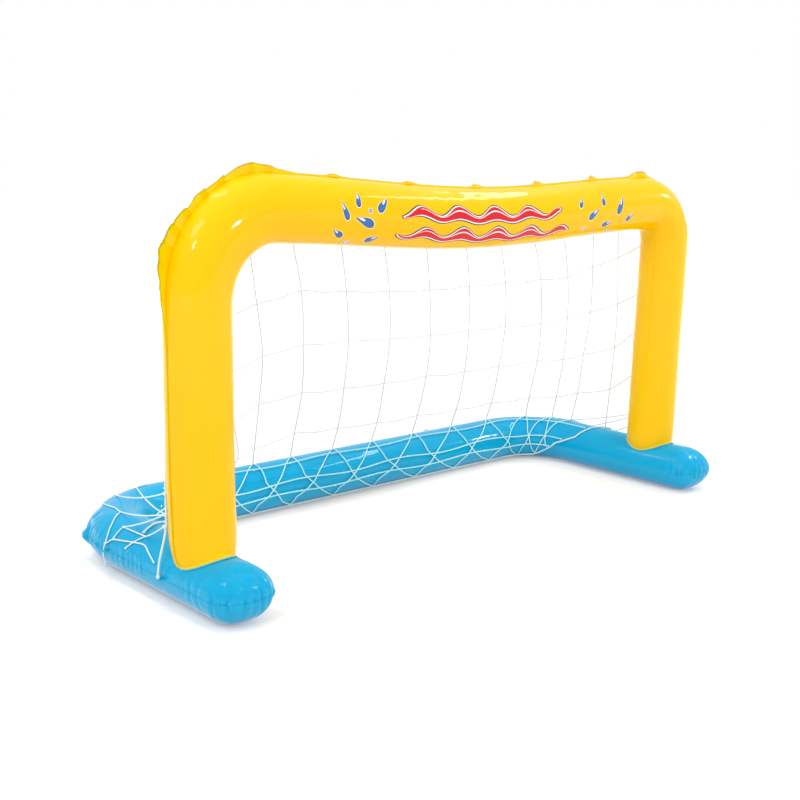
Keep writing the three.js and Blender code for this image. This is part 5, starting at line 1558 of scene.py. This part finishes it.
def pale_floor():
    """A wide pale floor that the camera sees as bright as the background, but for shadow."""
    mesh = bpy.data.meshes.new("floor")
    corners = [(x * FLOOR_HALF, y * FLOOR_HALF, FLOOR_LEVEL)
               for x, y in ((-1, -1), (1, -1), (1, 1), (-1, 1))]
    mesh.from_pydata(corners, [], [(0, 1, 2, 3)])
    floor = bpy.data.objects.new("floor", mesh)
    bpy.context.scene.collection.objects.link(floor)
    material, tree, shader = new_material("pale_floor", Roughness=0.9, Specular_IOR_Level=0.1)
    shader.inputs["Base Color"].default_value = (0.87, 0.80, 0.765, 1)
    shader.inputs["Emission Color"].default_value = (1, 0.95, 0.9, 1)
    ray = lay(tree, "ShaderNodeLightPath").outputs
    gloss = reckon(tree, "MULTIPLY", ray["Is Glossy Ray"], 2.0)
    seen = reckon(tree, "MAXIMUM", ray["Is Camera Ray"], gloss)
    place = lay(tree, "ShaderNodeTexCoord").outputs["Object"]
    away = lay(tree, "ShaderNodeVectorMath", {0: place}, operation="LENGTH").outputs["Value"]
    far = lay(tree, "ShaderNodeMapRange", dict(enumerate((away, *FLOOR_GLOW))),
              interpolation_type="SMOOTHSTEP").outputs["Result"]
    glow = reckon(tree, "MULTIPLY", seen, far)
    tree.links.new(glow, shader.inputs["Emission Strength"])
    mesh.materials.append(material)


def sky():
    """White where the camera, gloss or glass looks, and a plain soft light elsewhere."""
    world = bpy.data.worlds.new("studio")
    bpy.context.scene.world = world
    world.use_nodes = True
    tree = world.node_tree
    ground = tree.nodes["Background"]
    ground.inputs["Color"].default_value = WHITE
    ray = lay(tree, "ShaderNodeLightPath").outputs
    seen = ray["Is Camera Ray"]
    for label in ("Is Glossy Ray", "Is Transmission Ray"):
        seen = reckon(tree, "MAXIMUM", seen, ray[label])
    tree.links.new(ranged(tree, seen, 0.0, 1.0, 0.68, 1.0), ground.inputs["Strength"])


# Each softbox: where it stands, where it looks, its two sides and its power
SOFTBOXES = {
    "overhead_softbox": ((-0.4, -0.5, 3.2), (0, 0, 0.3), (3.4, 2.4), 15),
    "upper_left_softbox": ((-1.95, -0.33, 2.2), (-0.645, -0.25, 0.08), (0.8, 0.45), 9),
    "bar_strip": ((2.2, -0.42, 2.74), (0, -0.2, 0.7), (2.4, 0.1), 11),
    "corner_strip": ((-0.86, 0.98, 2.6), (-0.63, -0.17, 0.65), (0.06, 1.7), 14),
    "left_window": ((-2.45, -1.12, 2.0), (-0.66, -0.2, 0.4), (0.1, 0.3), 10),
    "front_window": ((0.15, -2.5, 1.3), (-0.55, -0.2, 0.4), (0.2, 0.09), 10),
    "right_window": ((1.85, -0.72, 1.15), (-0.62, -0.24, 0.1), (0.12, 0.12), 6),
}

pale_floor()
sky()
for name, (place, target, size, power) in SOFTBOXES.items():
    data = bpy.data.lights.new(name, "AREA")
    data.shape, data.size, data.size_y, data.energy = "RECTANGLE", *size, power
    lamp = bpy.data.objects.new(name, data)
    bpy.context.scene.collection.objects.link(lamp)
    lamp.location = place
    lamp.rotation_mode = "QUATERNION"
    lamp.rotation_quaternion = (Vector(target) - Vector(place)).to_track_quat("-Z", "Y")

bpy.context.scene.view_settings.view_transform = "Standard"
